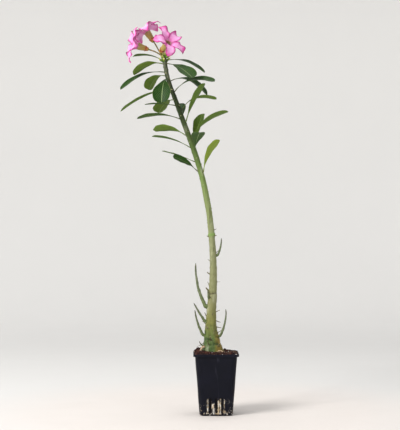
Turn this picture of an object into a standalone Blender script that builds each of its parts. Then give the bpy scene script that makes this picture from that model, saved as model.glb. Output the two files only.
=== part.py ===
"""A desert rose (adenium) in a square nursery pot.

Metres, +Z up. The origin is the centre of the pot's base, on the ground, and -Y is the front.
The plant leans towards -X: a fleshy stem with a swollen foot in the soil, bare side shoots low down,
spoon-shaped leaves on the upper half, and three funnel-shaped flowers on stalks at the tip.
"""

import math
from typing import NamedTuple

import bmesh
import bpy
from mathutils import Matrix, Vector

MM = 0.001
GAP = 0.3 * MM  # clearance between pieces that touch

# The pot: a tapered square shell with a stepped rim and three drainage slots low on each side.
POT_HEIGHT = 118.5 * MM
POT_BASE_HALF = 32 * MM
POT_TOP_HALF = 40.5 * MM
POT_RIM_HALF = 44 * MM
POT_RIM_BAND = 5 * MM
POT_WALL = 1.2 * MM
POT_CORNER = 9 * MM
POT_FOOT_ROUND = 4 * MM
CORNER_SEGMENTS = 4
FOOT_SEGMENTS = 2
SLOT_WIDTH = 3.6 * MM
SLOT_PITCH = 11 * MM
SLOT_LOW = 5 * MM
SLOT_HIGH = 34 * MM
SLOT_CUT_DEPTH = 12 * MM  # through the wall, which leans
DRAIN_RADIUS = 4 * MM
DRAIN_PITCH = 17 * MM  # each drain hole in the base, from the pot's centre along X and along Y

# The soil fills the pot, spreads over the ledge inside its rim and is heaped round the stem.
SOIL_LEDGE_HALF = POT_RIM_HALF - POT_WALL - 2 * GAP
SOIL_LEVEL = POT_HEIGHT - 1.5 * MM
SOIL_RINGS = ((0.86, 2.5), (0.62, 3.5), (0.38, 5.5))  # share of the width, rise in mm
SOIL_BUMP = 1.8 * MM
SOIL_HEAP = 4 * MM  # extra height towards the back left corner


class StemPoint(NamedTuple):
    """One point of the stem's centre line, in millimetres, with the stem's radius there."""

    x: float
    y: float
    z: float
    radius: float


STEM = (
    StemPoint(-4, 2, 44, 3.0),
    StemPoint(-4, 2, 62, 6.5),
    StemPoint(-4, 1, 84, 14.0),
    StemPoint(-5, 0, 104, 19.6),
    StemPoint(-6, 0, 118, 20.2),
    StemPoint(-8, 0, 136, 17.6),
    StemPoint(-9.2, 0, 154, 13.7),
    StemPoint(-9.2, 0, 172, 11.2),
    StemPoint(-8.6, 0, 199, 9.5),
    StemPoint(-6.5, 1, 226, 8.8),
    StemPoint(-5, 2, 264, 7.3),
    StemPoint(-5, 4, 297, 6.8),
    StemPoint(-7, 6, 329, 6.3),
    StemPoint(-11, 8, 378, 6.0),
    StemPoint(-17, 9, 415, 6.0),
    StemPoint(-27, 9, 463, 5.4),
    StemPoint(-42, 8, 513, 5.3),
    StemPoint(-60, 6, 562, 5.0),
    StemPoint(-78, 4, 612, 4.4),
    StemPoint(-93, 2, 653, 4.1),
    StemPoint(-99, 1, 679, 4.4),
    StemPoint(-102, 0, 706, 3.2),
)
STEM_STEP = 12 * MM
STEM_TIP = 706 * MM


class Shoot(NamedTuple):
    """A bare side shoot: where it leaves the stem, which way it heads, and how it bends."""

    height: float  # mm, where it leaves the stem
    heading: float  # degrees from +X, turning towards +Y
    rise: float  # degrees above level at its foot
    end_rise: float  # degrees above level at its tip
    length: float  # mm
    radius: float  # mm, at its foot


SHOOTS = (
    Shoot(208, 185, 62, 92, 86, 3.5),
    Shoot(224, 225, 74, 96, 16, 1.9),
    Shoot(180, 195, 54, 62, 40, 2.8),
    Shoot(154, 184, 60, 84, 50, 2.8),
    Shoot(150, 350, 58, 96, 54, 2.6),
    Shoot(308, 5, 62, 90, 34, 2.4),
    Shoot(134, 205, 25, 70, 12, 1.6),
)
SHOOT_TIP = 0.38  # the tip's radius as a share of the foot's


class Leaf(NamedTuple):
    """A leaf with its stalk: where it leaves the stem, which way it heads, and how it bends."""

    height: float  # mm, where its stalk leaves the stem
    heading: float  # degrees from +X, turning towards +Y
    rise: float  # degrees above level at the stem
    droop: float  # degrees above level at the tip, negative when it hangs
    length: float  # mm, stalk included
    width: float  # mm, at the widest
    roll: float  # degrees that the blade is turned about its midrib


LEAVES = (
    Leaf(694, 172, 36, -8, 62, 17, 0),
    Leaf(687, 192, 14, -44, 66, 21, 34),
    Leaf(671, 184, 8, -42, 96, 21, -30),
    Leaf(664, 148, 22, -66, 51, 36, 0),
    Leaf(637, 190, -6, -38, 108, 20, 10),
    Leaf(655, 257, 8, -84, 80, 36, 0),
    Leaf(617, 138, 12, -52, 50, 37, 0),
    Leaf(606, 182, 12, -6, 60, 13, 0),
    Leaf(580, 176, 24, -14, 86, 20, 10),
    Leaf(548, 186, 36, -9, 66, 22, 30),
    Leaf(524, 173, 34, 5, 80, 18, 4),
    Leaf(495, 170, 26, 14, 70, 15, 0),
    Leaf(476, 200, 44, 18, 58, 20, -52),
    Leaf(693, 2, 15, -38, 82, 21, 26),
    Leaf(686, 322, -8, -42, 76, 35, 22),
    Leaf(652, 16, 32, -50, 87, 22, 42),
    Leaf(630, 346, 56, -16, 89, 23, 32),
    Leaf(571, 332, 74, 51, 84, 24, 0),
    Leaf(577, 100, 66, 34, 54, 22, 0),
    Leaf(594, 20, 66, -10, 84, 18, -12),
    Leaf(524, 44, 86, 62, 70, 28, 0),
    Leaf(516, 282, 50, 16, 58, 26, 0),
    Leaf(536, 348, 72, 14, 92, 22, -12),
    Leaf(471, 322, 84, 42, 74, 24, 0),
)
LEAF_THICKNESS = 1.0 * MM
LEAF_STATIONS = 12
LEAF_COLUMNS = 4
LEAF_STALK_HALF = 1.4 * MM
LEAF_STALK_SHARE = 0.16  # of the length
LEAF_BEND = 1.6  # above 1, most of the bend comes near the stem
LEAF_FOLD = 0.24  # how far the margins rise, as a share of the half width


class Flower(NamedTuple):
    """A flower: where its stalk meets it, and the way that it faces."""

    base: tuple  # mm, the foot of the tube
    facing: tuple  # along the tube, towards its mouth
    turn: float  # degrees, of the lobes about the tube
    reflex: float  # degrees from the tube's axis to the lobes' tips
    stalk_height: float  # mm up the stem, where the stalk starts


FLOWERS = (
    Flower((-109, -9, 708), (0.56, -0.63, 0.52), 35, 108, 703),
    Flower((-123, 7, 732), (-0.57, 0.02, 0.82), 0, 137, 704),
    Flower((-133, -6, 714), (-0.95, -0.30, 0.24), 54, 96, 701),
)
FLOWER_LOBES = 5
TUBE_LENGTH = 28 * MM
TUBE_PROFILE = ((0.0, 2.4), (0.2, 4.0), (0.5, 6.2), (1.0, 6.7))  # share of length, radius in mm
TUBE_ROWS = 5
LOBE_ROWS = 6
LOBE_COLUMNS = 6
LOBE_LENGTH = 33 * MM
LOBE_HALF_WIDTH = 9.5 * MM
LOBE_TIP_HALF = 1.0 * MM
LOBE_SWELL, LOBE_CLOSE = 0.75, 0.55  # how a lobe's outline widens and closes
LOBE_BODY = 0.75  # shares of the full width in the curved and straight parts of the outline
LOBE_EDGE = 0.7
LOBE_FLARE = 38  # degrees from the tube's axis at which a lobe leaves the mouth
LOBE_BEND = 2.2  # above 1, most of the bend comes near the mouth
LOBE_CUP = 0.18  # how far a lobe's margins rise, as a share of its half width
LOBE_SAG = 12  # degrees that a lobe pointing straight down hangs further back
PETAL_THICKNESS = 0.7 * MM
CALYX_HEIGHT = 6 * MM
CALYX_WALL = 0.8 * MM
STALK_RADIUS = 1.3 * MM
STALK_SLOPE = math.radians(50)  # how steeply a flower stalk leaves the stem
STALK_RISE = 0.35  # share of its run that a flower stalk first goes straight out
ANTHER_PROFILE = ((0.4, 0.9), (11, 1.4), (18, 1.6), (25, 0.5))  # mm along the tube, radius in mm

BUDS = (
    Shoot(701, 352, 20, 48, 13, 1.3),
    Shoot(698, 312, 24, 52, 12, 1.2),
    Shoot(702, 50, 50, 66, 13, 1.3),
    Shoot(699, 125, 30, 58, 12, 1.2),
    Shoot(697, 228, 20, 55, 11, 1.2),
    Shoot(703, 268, 62, 84, 9, 1.2),
)

# name: colour, roughness
FINISHES = {
    "pot": ((0.018, 0.019, 0.024), 0.42),
    "soil": ((0.060, 0.028, 0.018), 0.95),
    "stem": ((0.245, 0.300, 0.155), 0.60),
    "shoot": ((0.215, 0.260, 0.150), 0.65),
    "leaf": ((0.075, 0.160, 0.045), 0.38),
    "petal": ((0.800, 0.230, 0.480), 0.50),
    "calyx": ((0.330, 0.340, 0.090), 0.55),
    "stalk": ((0.230, 0.220, 0.080), 0.55),
    "anther": ((0.780, 0.700, 0.380), 0.60),
}


# Scene housekeeping


def clear_scene():
    for obj in list(bpy.data.objects):
        bpy.data.objects.remove(obj, do_unlink=True)


def new_collection(name):
    collection = bpy.data.collections.new(name)
    bpy.context.scene.collection.children.link(collection)
    return collection


def finish(name):
    """The material of that name, made the first time it is asked for."""
    material = bpy.data.materials.get(name)
    if material is None:
        colour, roughness = FINISHES[name]
        material = bpy.data.materials.new(name)
        material.use_nodes = True
        shader = material.node_tree.nodes["Principled BSDF"]
        shader.inputs["Base Color"].default_value = (*colour, 1)
        shader.inputs["Roughness"].default_value = roughness
        shader.inputs["Metallic"].default_value = 0
    return material


def add_object(name, data, collection, material=None):
    obj = bpy.data.objects.new(name, data)
    collection.objects.link(obj)
    if material:
        data.materials.append(finish(material))
    return obj


def mesh_from(bm, name):
    """Ends a bmesh: its normals face out, its faces are smooth except at sharp edges."""
    bmesh.ops.recalc_face_normals(bm, faces=bm.faces)
    mesh = bpy.data.meshes.new(name)
    bm.to_mesh(mesh)
    bm.free()
    mesh.shade_smooth()
    mesh.set_sharp_from_angle(angle=math.radians(40))
    return mesh


def solidify(obj, thickness, offset):
    shell = obj.modifiers.new("thickness", "SOLIDIFY")
    shell.thickness = thickness
    shell.offset = offset
    shell.use_even_offset = True


# Shared curves


def tube(name, points, radii, collection, material, sides_step=2):
    """A round stem along points, with its own radius at each of them."""
    data = bpy.data.curves.new(name, "CURVE")
    data.dimensions = "3D"
    data.bevel_depth = 1.0
    data.bevel_resolution = sides_step
    data.use_fill_caps = True
    spline = data.splines.new("POLY")
    spline.points.add(len(points) - 1)
    for point, co, radius in zip(spline.points, points, radii):
        point.co = (*co, 1)
        point.radius = radius
    return add_object(name, data, collection, material)


def blend(a, b, share):
    return a + (b - a) * share


def smooth_row(rows, column, index, share):
    """A Catmull-Rom value between rows[index] and the next, for one column of the table."""
    before = rows[max(index - 1, 0)][column]
    start = rows[index][column]
    end = rows[index + 1][column]
    after = rows[min(index + 2, len(rows) - 1)][column]
    a = 2 * start
    b = end - before
    c = 2 * before - 5 * start + 4 * end - after
    d = 3 * (start - end) + after - before
    return 0.5 * (a + b * share + c * share**2 + d * share**3)


def stem_at(height):
    """The stem's centre and radius at a height, in metres."""
    z = height / MM
    index = max(i for i, row in enumerate(STEM[:-1]) if row.z <= z or i == 0)
    row, following = STEM[index], STEM[index + 1]
    share = min(max((z - row.z) / (following.z - row.z), 0), 1)
    x, y, radius = (smooth_row(STEM, column, index, share) for column in (0, 1, 3))
    return Vector((x, y, z)) * MM, radius * MM


def arc(start, heading, rise, end_rise, length, steps, bend=1.0):
    """Points of a line in an upright plane, whose slope goes from rise to end_rise."""
    level = Vector((math.cos(heading), math.sin(heading), 0))
    points = [Vector(start)]
    slopes = [rise]
    for step in range(steps):
        middle = (step + 0.5) / steps
        slope = end_rise + (rise - end_rise) * (1 - middle) ** bend
        direction = level * math.cos(slope) + Vector((0, 0, math.sin(slope)))
        points.append(points[-1] + direction * (length / steps))
        slopes.append(end_rise + (rise - end_rise) * (1 - (step + 1) / steps) ** bend)
    return points, slopes


def foot_on_stem(height, heading, rise, half_depth):
    """Where a piece half_depth thick starts, just clear of the stem's skin."""
    centre, radius = stem_at(height)
    axis = (stem_at(height + MM)[0] - stem_at(height - MM)[0]).normalized()
    level = Vector((math.cos(heading), math.sin(heading), 0))
    outward = (level - axis * level.dot(axis)).normalized()
    direction = level * math.cos(rise) + Vector((0, 0, math.sin(rise)))
    return centre + outward * (radius + GAP + half_depth * direction.cross(outward).length)


# The pot and the soil


def tapered_cube(base_half, top_half, low, high, corner, foot_round):
    """A cube narrower at its base, with rounded upright corners and a rounded foot."""
    bm = bmesh.new()
    bmesh.ops.create_cube(bm, size=2)
    for vert in bm.verts:
        half = top_half if vert.co.z > 0 else base_half
        vert.co = (vert.co.x * half, vert.co.y * half, high if vert.co.z > 0 else low)
    upright = [e for e in bm.edges if abs(e.verts[0].co.z - e.verts[1].co.z) > MM]
    bmesh.ops.bevel(
        bm, geom=upright, offset=corner, segments=CORNER_SEGMENTS, profile=0.5, affect="EDGES"
    )
    foot = [e for e in bm.edges if all(abs(v.co.z - low) < 0.01 * MM for v in e.verts)]
    bmesh.ops.bevel(
        bm, geom=foot, offset=foot_round, segments=FOOT_SEGMENTS, profile=0.5, affect="EDGES"
    )
    return bm


def top_face(bm):
    return max(bm.faces, key=lambda face: face.calc_center_median().z)


def raise_cap(bm, cap, scale, heights):
    """Extrudes the cap, scales its outline and sets each corner's height from heights(x, y)."""
    made = bmesh.ops.extrude_discrete_faces(bm, faces=[cap])["faces"][0]
    for vert in made.verts:
        vert.co.x *= scale
        vert.co.y *= scale
        vert.co.z = heights(vert.co.x, vert.co.y)
    return made


def pot_shell():
    """The pot's outer skin, open at the top, with the step of its rim."""
    ledge = POT_HEIGHT - POT_RIM_BAND
    bm = tapered_cube(POT_BASE_HALF, POT_TOP_HALF, 0, ledge, POT_CORNER, POT_FOOT_ROUND)
    cap = raise_cap(bm, top_face(bm), POT_RIM_HALF / POT_TOP_HALF, lambda x, y: ledge)
    cap = raise_cap(bm, cap, 1, lambda x, y: POT_HEIGHT)
    bmesh.ops.delete(bm, geom=[cap], context="FACES_ONLY")
    return bm


def drain_cutters(cutters):
    """One mesh: three slots through each wall, and four round holes through the base."""
    bm = bmesh.new()
    middle = (SLOT_LOW + SLOT_HIGH) / 2
    for side in range(4):
        turn = Matrix.Rotation(math.radians(90 * side), 4, "Z")
        for index in (-1, 0, 1):
            place = Matrix.Translation((index * SLOT_PITCH, -POT_BASE_HALF, middle))
            size = Matrix.Diagonal((SLOT_WIDTH, SLOT_CUT_DEPTH, SLOT_HIGH - SLOT_LOW, 1))
            bmesh.ops.create_cube(bm, size=1, matrix=turn @ place @ size)
        bmesh.ops.create_cone(
            bm,
            cap_ends=True,
            segments=12,
            radius1=DRAIN_RADIUS,
            radius2=DRAIN_RADIUS,
            depth=4 * MM,
            matrix=turn @ Matrix.Translation((DRAIN_PITCH, DRAIN_PITCH, 0)),
        )
    cutter = add_object("drain_cutters", mesh_from(bm, "drain_cutters"), cutters)
    cutter.hide_render = True
    cutter.display_type = "WIRE"
    return cutter


def cut(obj, cutter):
    boolean = obj.modifiers.new("cut", "BOOLEAN")
    boolean.operation = "DIFFERENCE"
    boolean.object = cutter


def make_pot(collection, cutters):
    pot = add_object("pot", mesh_from(pot_shell(), "pot"), collection, "pot")
    solidify(pot, POT_WALL, -1)
    cut(pot, drain_cutters(cutters))


def soil_height(x, y, rise):
    """The top of the soil: bumpy, and heaped towards the back left corner."""
    across = x / POT_TOP_HALF
    along = y / POT_TOP_HALF
    bump = math.sin(7.1 * across + 2.3 * along) * math.cos(5.3 * along - 1.9 * across)
    heap = max(0, 0.6 * along - across) / 1.6
    return SOIL_LEVEL + rise + bump * SOIL_BUMP + heap * SOIL_HEAP


def make_soil(collection, cutters):
    inset = POT_WALL + GAP
    ledge = POT_HEIGHT - POT_RIM_BAND + inset
    bm = tapered_cube(
        POT_BASE_HALF - inset,
        POT_TOP_HALF - inset,
        inset,
        ledge,
        POT_CORNER - inset,
        POT_FOOT_ROUND - inset,
    )
    widest = SOIL_LEDGE_HALF / (POT_TOP_HALF - inset)
    cap = raise_cap(bm, top_face(bm), widest, lambda x, y: ledge)
    cap = raise_cap(bm, cap, 1, lambda x, y: SOIL_LEVEL)
    share_before = 1
    for share, rise in SOIL_RINGS:
        cap = raise_cap(
            bm, cap, share / share_before, lambda x, y, rise=rise: soil_height(x, y, rise * MM)
        )
        share_before = share
    bmesh.ops.poke(bm, faces=[cap])
    soil = add_object("soil", mesh_from(bm, "soil"), collection, "soil")
    cut(soil, stem_socket(cutters))


# The stem, its shoots and its leaves


def stem_line(extra_radius=0.0):
    low = STEM[0].z * MM
    steps = round((STEM_TIP - low) / STEM_STEP)
    rows = [stem_at(blend(low, STEM_TIP, step / steps)) for step in range(steps + 1)]
    return [centre for centre, _ in rows], [radius + extra_radius for _, radius in rows]


def make_stem(collection):
    points, radii = stem_line()
    tube("stem", points, radii, collection, "stem", sides_step=4)


def stem_socket(cutters):
    """The hollow that the stem's buried foot leaves in the soil, as a mesh that can cut."""
    points, radii = stem_line(GAP)
    points[0] = points[0] - Vector((0, 0, GAP))
    guide = tube("stem_socket_guide", points, radii, cutters, None, sides_step=4)
    graph = bpy.context.evaluated_depsgraph_get()
    mesh = bpy.data.meshes.new_from_object(guide.evaluated_get(graph))
    bm = bmesh.new()
    bm.from_mesh(mesh)
    bmesh.ops.remove_doubles(bm, verts=bm.verts, dist=0.01 * MM)
    bmesh.ops.recalc_face_normals(bm, faces=bm.faces)
    bm.to_mesh(mesh)
    bm.free()
    socket = add_object("stem_socket", mesh, cutters)
    socket.matrix_world = guide.matrix_world
    bpy.data.objects.remove(guide, do_unlink=True)
    socket.hide_render = True
    socket.display_type = "WIRE"
    return socket


def make_shoot(name, shoot, collection, material):
    heading, rise, end_rise = (
        math.radians(angle) for angle in (shoot.heading, shoot.rise, shoot.end_rise)
    )
    radius = shoot.radius * MM
    start = foot_on_stem(shoot.height * MM, heading, rise, radius)
    steps = max(4, round(shoot.length / 8))
    points, _ = arc(start, heading, rise, end_rise, shoot.length * MM, steps)
    radii = [radius * blend(1, SHOOT_TIP, step / steps) for step in range(steps + 1)]
    tube(name, points, radii, collection, material)


def leaf_half_width(share, width):
    """Half the leaf's width at a share of its length: a thin stalk, then a spoon-shaped blade."""
    blade = max(0, (share - LEAF_STALK_SHARE) / (1 - LEAF_STALK_SHARE))
    swell, close = 1.15, 0.5
    widest = swell / (swell + close)
    peak = widest**swell * (1 - widest) ** close
    outline = blade**swell * (1 - blade) ** close / peak
    return LEAF_STALK_HALF + (width / 2 - LEAF_STALK_HALF) * outline


def make_leaf(name, leaf, collection):
    heading, rise, droop, roll = (
        math.radians(angle) for angle in (leaf.heading, leaf.rise, leaf.droop, leaf.roll)
    )
    start = foot_on_stem(leaf.height * MM, heading, rise, LEAF_THICKNESS)
    points, slopes = arc(start, heading, rise, droop, leaf.length * MM, LEAF_STATIONS, LEAF_BEND)
    level = Vector((math.cos(heading), math.sin(heading), 0))
    side = Vector((-math.sin(heading), math.cos(heading), 0))
    bm = bmesh.new()
    bmesh.ops.create_grid(bm, x_segments=LEAF_COLUMNS, y_segments=LEAF_STATIONS, size=1)
    for vert in bm.verts:
        station = round((vert.co.y + 1) / 2 * LEAF_STATIONS)
        share = station / LEAF_STATIONS
        slope = slopes[station]
        along = level * math.cos(slope) + Vector((0, 0, math.sin(slope)))
        up = along.cross(side)
        if up.z < 0 and abs(slope) < math.pi / 2:
            up.negate()
        turn = Matrix.Rotation(roll * min(1, share / 0.4), 3, along)
        half = leaf_half_width(share, leaf.width * MM)
        across = vert.co.x * half
        lift = vert.co.x**2 * half * LEAF_FOLD
        vert.co = points[station] + turn @ (side * across + up * lift)
    obj = add_object(name, mesh_from(bm, name), collection, "leaf")
    solidify(obj, LEAF_THICKNESS, 0)


# The flowers


def piecewise(profile, at):
    """The value at a place in a table of (place, value), straight between its rows."""
    for (low, before), (high, after) in zip(profile, profile[1:]):
        if at <= high:
            return blend(before, after, (at - low) / (high - low))
    return profile[-1][1]


def flower_frame(flower):
    """The flower's own axes: Z runs up the tube from its foot."""
    facing = Vector(flower.facing).normalized()
    turn = facing.to_track_quat("Z", "Y").to_matrix().to_4x4()
    spin = Matrix.Rotation(math.radians(flower.turn), 4, "Z")
    return Matrix.Translation(Vector(flower.base) * MM) @ turn @ spin


def lobe_half_width(share):
    """Half a lobe's width at a share of its length from the mouth."""
    widest = LOBE_SWELL / (LOBE_SWELL + LOBE_CLOSE)
    peak = widest**LOBE_SWELL * (1 - widest) ** LOBE_CLOSE
    mouth = TUBE_PROFILE[-1][1] * MM * math.tan(math.pi / FLOWER_LOBES)
    blade = LOBE_HALF_WIDTH * share**LOBE_SWELL * (1 - share) ** LOBE_CLOSE / peak
    return blend(mouth, LOBE_TIP_HALF, share) * LOBE_EDGE + blade * LOBE_BODY


def lobe_line(reflex):
    """(distance from the axis, distance along it) down the middle of a lobe."""
    flare = math.radians(LOBE_FLARE)
    out, along = TUBE_PROFILE[-1][1] * MM, TUBE_LENGTH
    line = [(out, along)]
    for step in range(LOBE_ROWS):
        middle = (step + 0.5) / LOBE_ROWS
        angle = reflex + (flare - reflex) * (1 - middle) ** LOBE_BEND
        out += math.sin(angle) * LOBE_LENGTH / LOBE_ROWS
        along += math.cos(angle) * LOBE_LENGTH / LOBE_ROWS
        line.append((out, along))
    return line


def corolla_point(row, column, line):
    """A point of one fifth of the corolla: column runs from -1 to 1 across it."""
    if row <= TUBE_ROWS:
        share = row / TUBE_ROWS
        radius = piecewise(TUBE_PROFILE, share) * MM
        angle = column * math.pi / FLOWER_LOBES
        return Vector((math.cos(angle) * radius, math.sin(angle) * radius, share * TUBE_LENGTH))
    out, along = line[row - TUBE_ROWS]
    half = lobe_half_width((row - TUBE_ROWS) / LOBE_ROWS)
    cup = column**2 * half * LOBE_CUP
    return Vector((out, column * half, along + cup))


def make_corolla(name, flower, frame, collection):
    rows = TUBE_ROWS + LOBE_ROWS
    bm = bmesh.new()
    for lobe in range(FLOWER_LOBES):
        turn = Matrix.Rotation(2 * math.pi * lobe / FLOWER_LOBES, 4, "Z")
        downward = -(frame @ turn @ Vector((1, 0, 0, 0))).z
        line = lobe_line(math.radians(flower.reflex + LOBE_SAG * downward))
        grid = bmesh.ops.create_grid(bm, x_segments=LOBE_COLUMNS, y_segments=rows, size=1)
        for vert in grid["verts"]:
            row = round((vert.co.y + 1) / 2 * rows)
            vert.co = turn @ corolla_point(row, vert.co.x, line)
    bmesh.ops.remove_doubles(bm, verts=bm.verts, dist=0.02 * MM)
    bm.transform(frame)
    obj = add_object(name, mesh_from(bm, name), collection, "petal")
    solidify(obj, PETAL_THICKNESS, 0)


def make_calyx(name, frame, collection):
    """A little cup round the foot of the tube, turned from its profile."""
    clear = PETAL_THICKNESS / 2 + GAP
    rise = CALYX_HEIGHT / TUBE_LENGTH
    foot, lip = (piecewise(TUBE_PROFILE, share) * MM + clear for share in (0, rise))
    profile = ((lip, CALYX_HEIGHT), (foot + 0.2 * MM, 1.0 * MM), (foot, -0.4 * MM))
    bm = bmesh.new()
    verts = [bm.verts.new((out, 0, along)) for out, along in profile]
    for start, end in zip(verts, verts[1:]):
        bm.edges.new((start, end))
    mesh = bpy.data.meshes.new(name)
    bm.to_mesh(mesh)
    bm.free()
    obj = add_object(name, mesh, collection, "calyx")
    obj.matrix_world = frame
    screw = obj.modifiers.new("turn", "SCREW")
    screw.steps = screw.render_steps = 12
    screw.use_merge_vertices = True
    screw.merge_threshold = 0.00005
    solidify(obj, CALYX_WALL, 1)


def make_flower_stalk(name, flower, frame, collection):
    """From the stem's tip, out and then in line with the tube, to the foot of the tube."""
    end = frame @ Vector((0, 0, -GAP))
    centre, _ = stem_at(flower.stalk_height * MM)
    heading = math.atan2(end.y - centre.y, end.x - centre.x)
    start = foot_on_stem(flower.stalk_height * MM, heading, STALK_SLOPE, STALK_RADIUS)
    run = (end - start).length * STALK_RISE
    level = Vector((math.cos(heading), math.sin(heading), 0))
    handle_out = start + (level * math.cos(STALK_SLOPE) + Vector((0, 0, math.sin(STALK_SLOPE)))) * run
    handle_in = end - Vector(flower.facing).normalized() * run
    steps = 7
    points = []
    for step in range(steps + 1):
        t = step / steps
        points.append(
            start * (1 - t) ** 3
            + handle_out * 3 * t * (1 - t) ** 2
            + handle_in * 3 * t**2 * (1 - t)
            + end * t**3
        )
    tube(name, points, [STALK_RADIUS] * (steps + 1), collection, "stalk")


def make_anthers(name, frame, collection):
    """The column of anthers, standing in the tube on the end of the stalk."""
    points = [frame @ Vector((0, 0, along * MM)) for along, _ in ANTHER_PROFILE]
    tube(name, points, [radius * MM for _, radius in ANTHER_PROFILE], collection, "anther")


def make_flower(number, flower, collection):
    frame = flower_frame(flower)
    make_flower_stalk(f"flower_{number}_stalk", flower, frame, collection)
    make_calyx(f"flower_{number}_calyx", frame, collection)
    make_corolla(f"flower_{number}_corolla", flower, frame, collection)
    make_anthers(f"flower_{number}_anthers", frame, collection)


def main():
    clear_scene()
    plant = new_collection("potted_desert_rose")
    cutters = new_collection("cutters")
    make_pot(plant, cutters)
    make_soil(plant, cutters)
    make_stem(plant)
    for number, shoot in enumerate(SHOOTS, 1):
        make_shoot(f"side_shoot_{number}", shoot, plant, "shoot")
    for number, leaf in enumerate(LEAVES, 1):
        make_leaf(f"leaf_{number:02d}", leaf, plant)
    for number, bud in enumerate(BUDS, 1):
        make_shoot(f"bud_{number}", bud, plant, "calyx")
    for number, flower in enumerate(FLOWERS, 1):
        make_flower(number, flower, plant)


main()
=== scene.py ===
"""The looks of a potted desert rose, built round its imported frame.

Metres, +Z up, with the origin at the centre of the pot's base and -Y at the front. The stem, each
shoot, leaf and flower is read from its frame node, as a line with a size at each of its points,
and made again with its fine shape along that line.
"""

import math
import random

import bmesh
import bpy
import numpy as np
from mathutils import Matrix, Vector, noise


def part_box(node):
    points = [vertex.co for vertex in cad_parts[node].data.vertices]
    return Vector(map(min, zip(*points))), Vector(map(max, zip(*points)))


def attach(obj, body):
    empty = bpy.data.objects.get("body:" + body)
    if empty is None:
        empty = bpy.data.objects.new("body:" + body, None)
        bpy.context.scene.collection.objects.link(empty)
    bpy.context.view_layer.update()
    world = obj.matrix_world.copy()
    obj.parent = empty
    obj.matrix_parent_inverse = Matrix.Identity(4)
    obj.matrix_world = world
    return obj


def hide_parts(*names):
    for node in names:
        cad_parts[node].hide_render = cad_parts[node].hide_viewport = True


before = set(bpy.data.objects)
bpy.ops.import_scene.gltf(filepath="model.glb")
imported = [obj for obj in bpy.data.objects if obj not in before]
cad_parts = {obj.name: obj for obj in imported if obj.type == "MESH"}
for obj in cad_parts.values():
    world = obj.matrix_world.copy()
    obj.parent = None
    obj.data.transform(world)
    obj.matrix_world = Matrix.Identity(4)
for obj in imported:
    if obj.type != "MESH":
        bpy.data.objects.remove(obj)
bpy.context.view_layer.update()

# noise_vector starts from the clock unless it is given a seed.
noise.seed_set(1)

MM = 0.001
WELD = 0.02 * MM
BODY = "root"
SMOOTH_ANGLE = math.radians(40)
# How far a skin's tip stands out past its last ring, as a share of that ring's radius.
TIP_ROUND = 0.8
# How thin the lines between two dark or light veins are, as a share of their spacing.
LINE_CORE = 0.02
# A line that begins in the stem starts this far towards its middle, and this far down.
ROOT_DEPTH = 0.55
ROOT_DROP = 0.35
# The turn from one leaf scar to the next up the stem, and a rounder one for knots and bracts.
SCAR_TURN = 2.39996
KNOT_TURN = 2.4

LEAF_COUNT = 24
SHOOT_COUNT = 7
BUD_COUNT = 6
FLOWER_COUNT = 3
LOBE_COUNT = 5


# How far from its lowest corner the first cut of a leaf's node reaches.
LEAF_FOOT = 3.6 * MM

# Small sums


def blend(a, b, share):
    return a + (b - a) * share


def ease(value, low, high):
    """0 below low, 1 above high, and smooth in between."""
    share = min(max((value - low) / (high - low), 0), 1)
    return share * share * (3 - 2 * share)


def smooth_between(rows, at):
    """A Catmull-Rom value of rows (numbers or vectors) at a place from 0 to len(rows) - 1."""
    index = min(max(int(at), 0), len(rows) - 2)
    t = at - index
    start, end = rows[index], rows[index + 1]
    before = rows[index - 1] if index else start * 2 - end
    after = rows[index + 2] if index + 2 < len(rows) else end * 2 - start
    bend = (end - before) * t
    bend += (before * 2 - start * 5 + end * 4 - after) * (t * t)
    bend += ((start - end) * 3 + after - before) * (t * t * t)
    return start + bend * 0.5


def mean(points):
    return sum(points, Vector()) / len(points)


# Reading the frame


def welded(node):
    """A frame node's mesh with its loose triangles joined."""
    bm = bmesh.new()
    bm.from_mesh(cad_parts[node].data)
    bmesh.ops.remove_doubles(bm, verts=bm.verts, dist=WELD)
    bm.verts.index_update()
    bm.normal_update()
    return bm


def slice_at(bm, height, reach=1.0):
    """The centre and radius of an upright tube where a level plane cuts it.

    Cuts further than reach from the Z axis are left out.
    """
    cuts = []
    for edge in bm.edges:
        low, high = sorted((vert.co for vert in edge.verts), key=lambda co: co.z)
        if low.z <= height < high.z:
            cuts.append(low.lerp(high, (height - low.z) / (high.z - low.z)))
    cuts = [cut for cut in cuts if math.hypot(cut.x, cut.y) < reach]
    centre = mean(cuts)
    return centre, sum((cut - centre).length for cut in cuts) / len(cuts)


class StemLine:
    """The stem's centre line and radius, by height."""

    STEP = 6 * MM

    def __init__(self):
        bm = welded("stem")
        self.low, self.high = (corner.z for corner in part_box("stem"))
        count = round((self.high - self.low) / self.STEP)
        inset = 0.6 * MM
        rows = [
            slice_at(bm, blend(self.low + inset, self.high - inset, step / count))
            for step in range(count + 1)
        ]
        bm.free()
        self.centres = [centre for centre, _ in rows]
        self.radii = [radius for _, radius in rows]

    def at(self, height):
        place = (height - self.low) / (self.high - self.low) * (len(self.radii) - 1)
        place = min(max(place, 0), len(self.radii) - 1)
        return smooth_between(self.centres, place), smooth_between(self.radii, place)

    def gap(self, point):
        """How far a point is from the stem's centre, on the level."""
        centre, _ = self.at(point.z)
        return math.hypot(point.x - centre.x, point.y - centre.y)


stem_line = StemLine()


def rings_from(first):
    """Rings of vertices, each one edge further from the first ring, in the mesh's own order."""
    rings, seen = [set(first)], set(first)
    while rings[-1]:
        following = {edge.other_vert(vert) for vert in rings[-1] for edge in vert.link_edges}
        rings.append(following - seen)
        seen |= following
    return [sorted(ring, key=lambda vert: vert.index) for ring in rings[:-1]]


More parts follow.
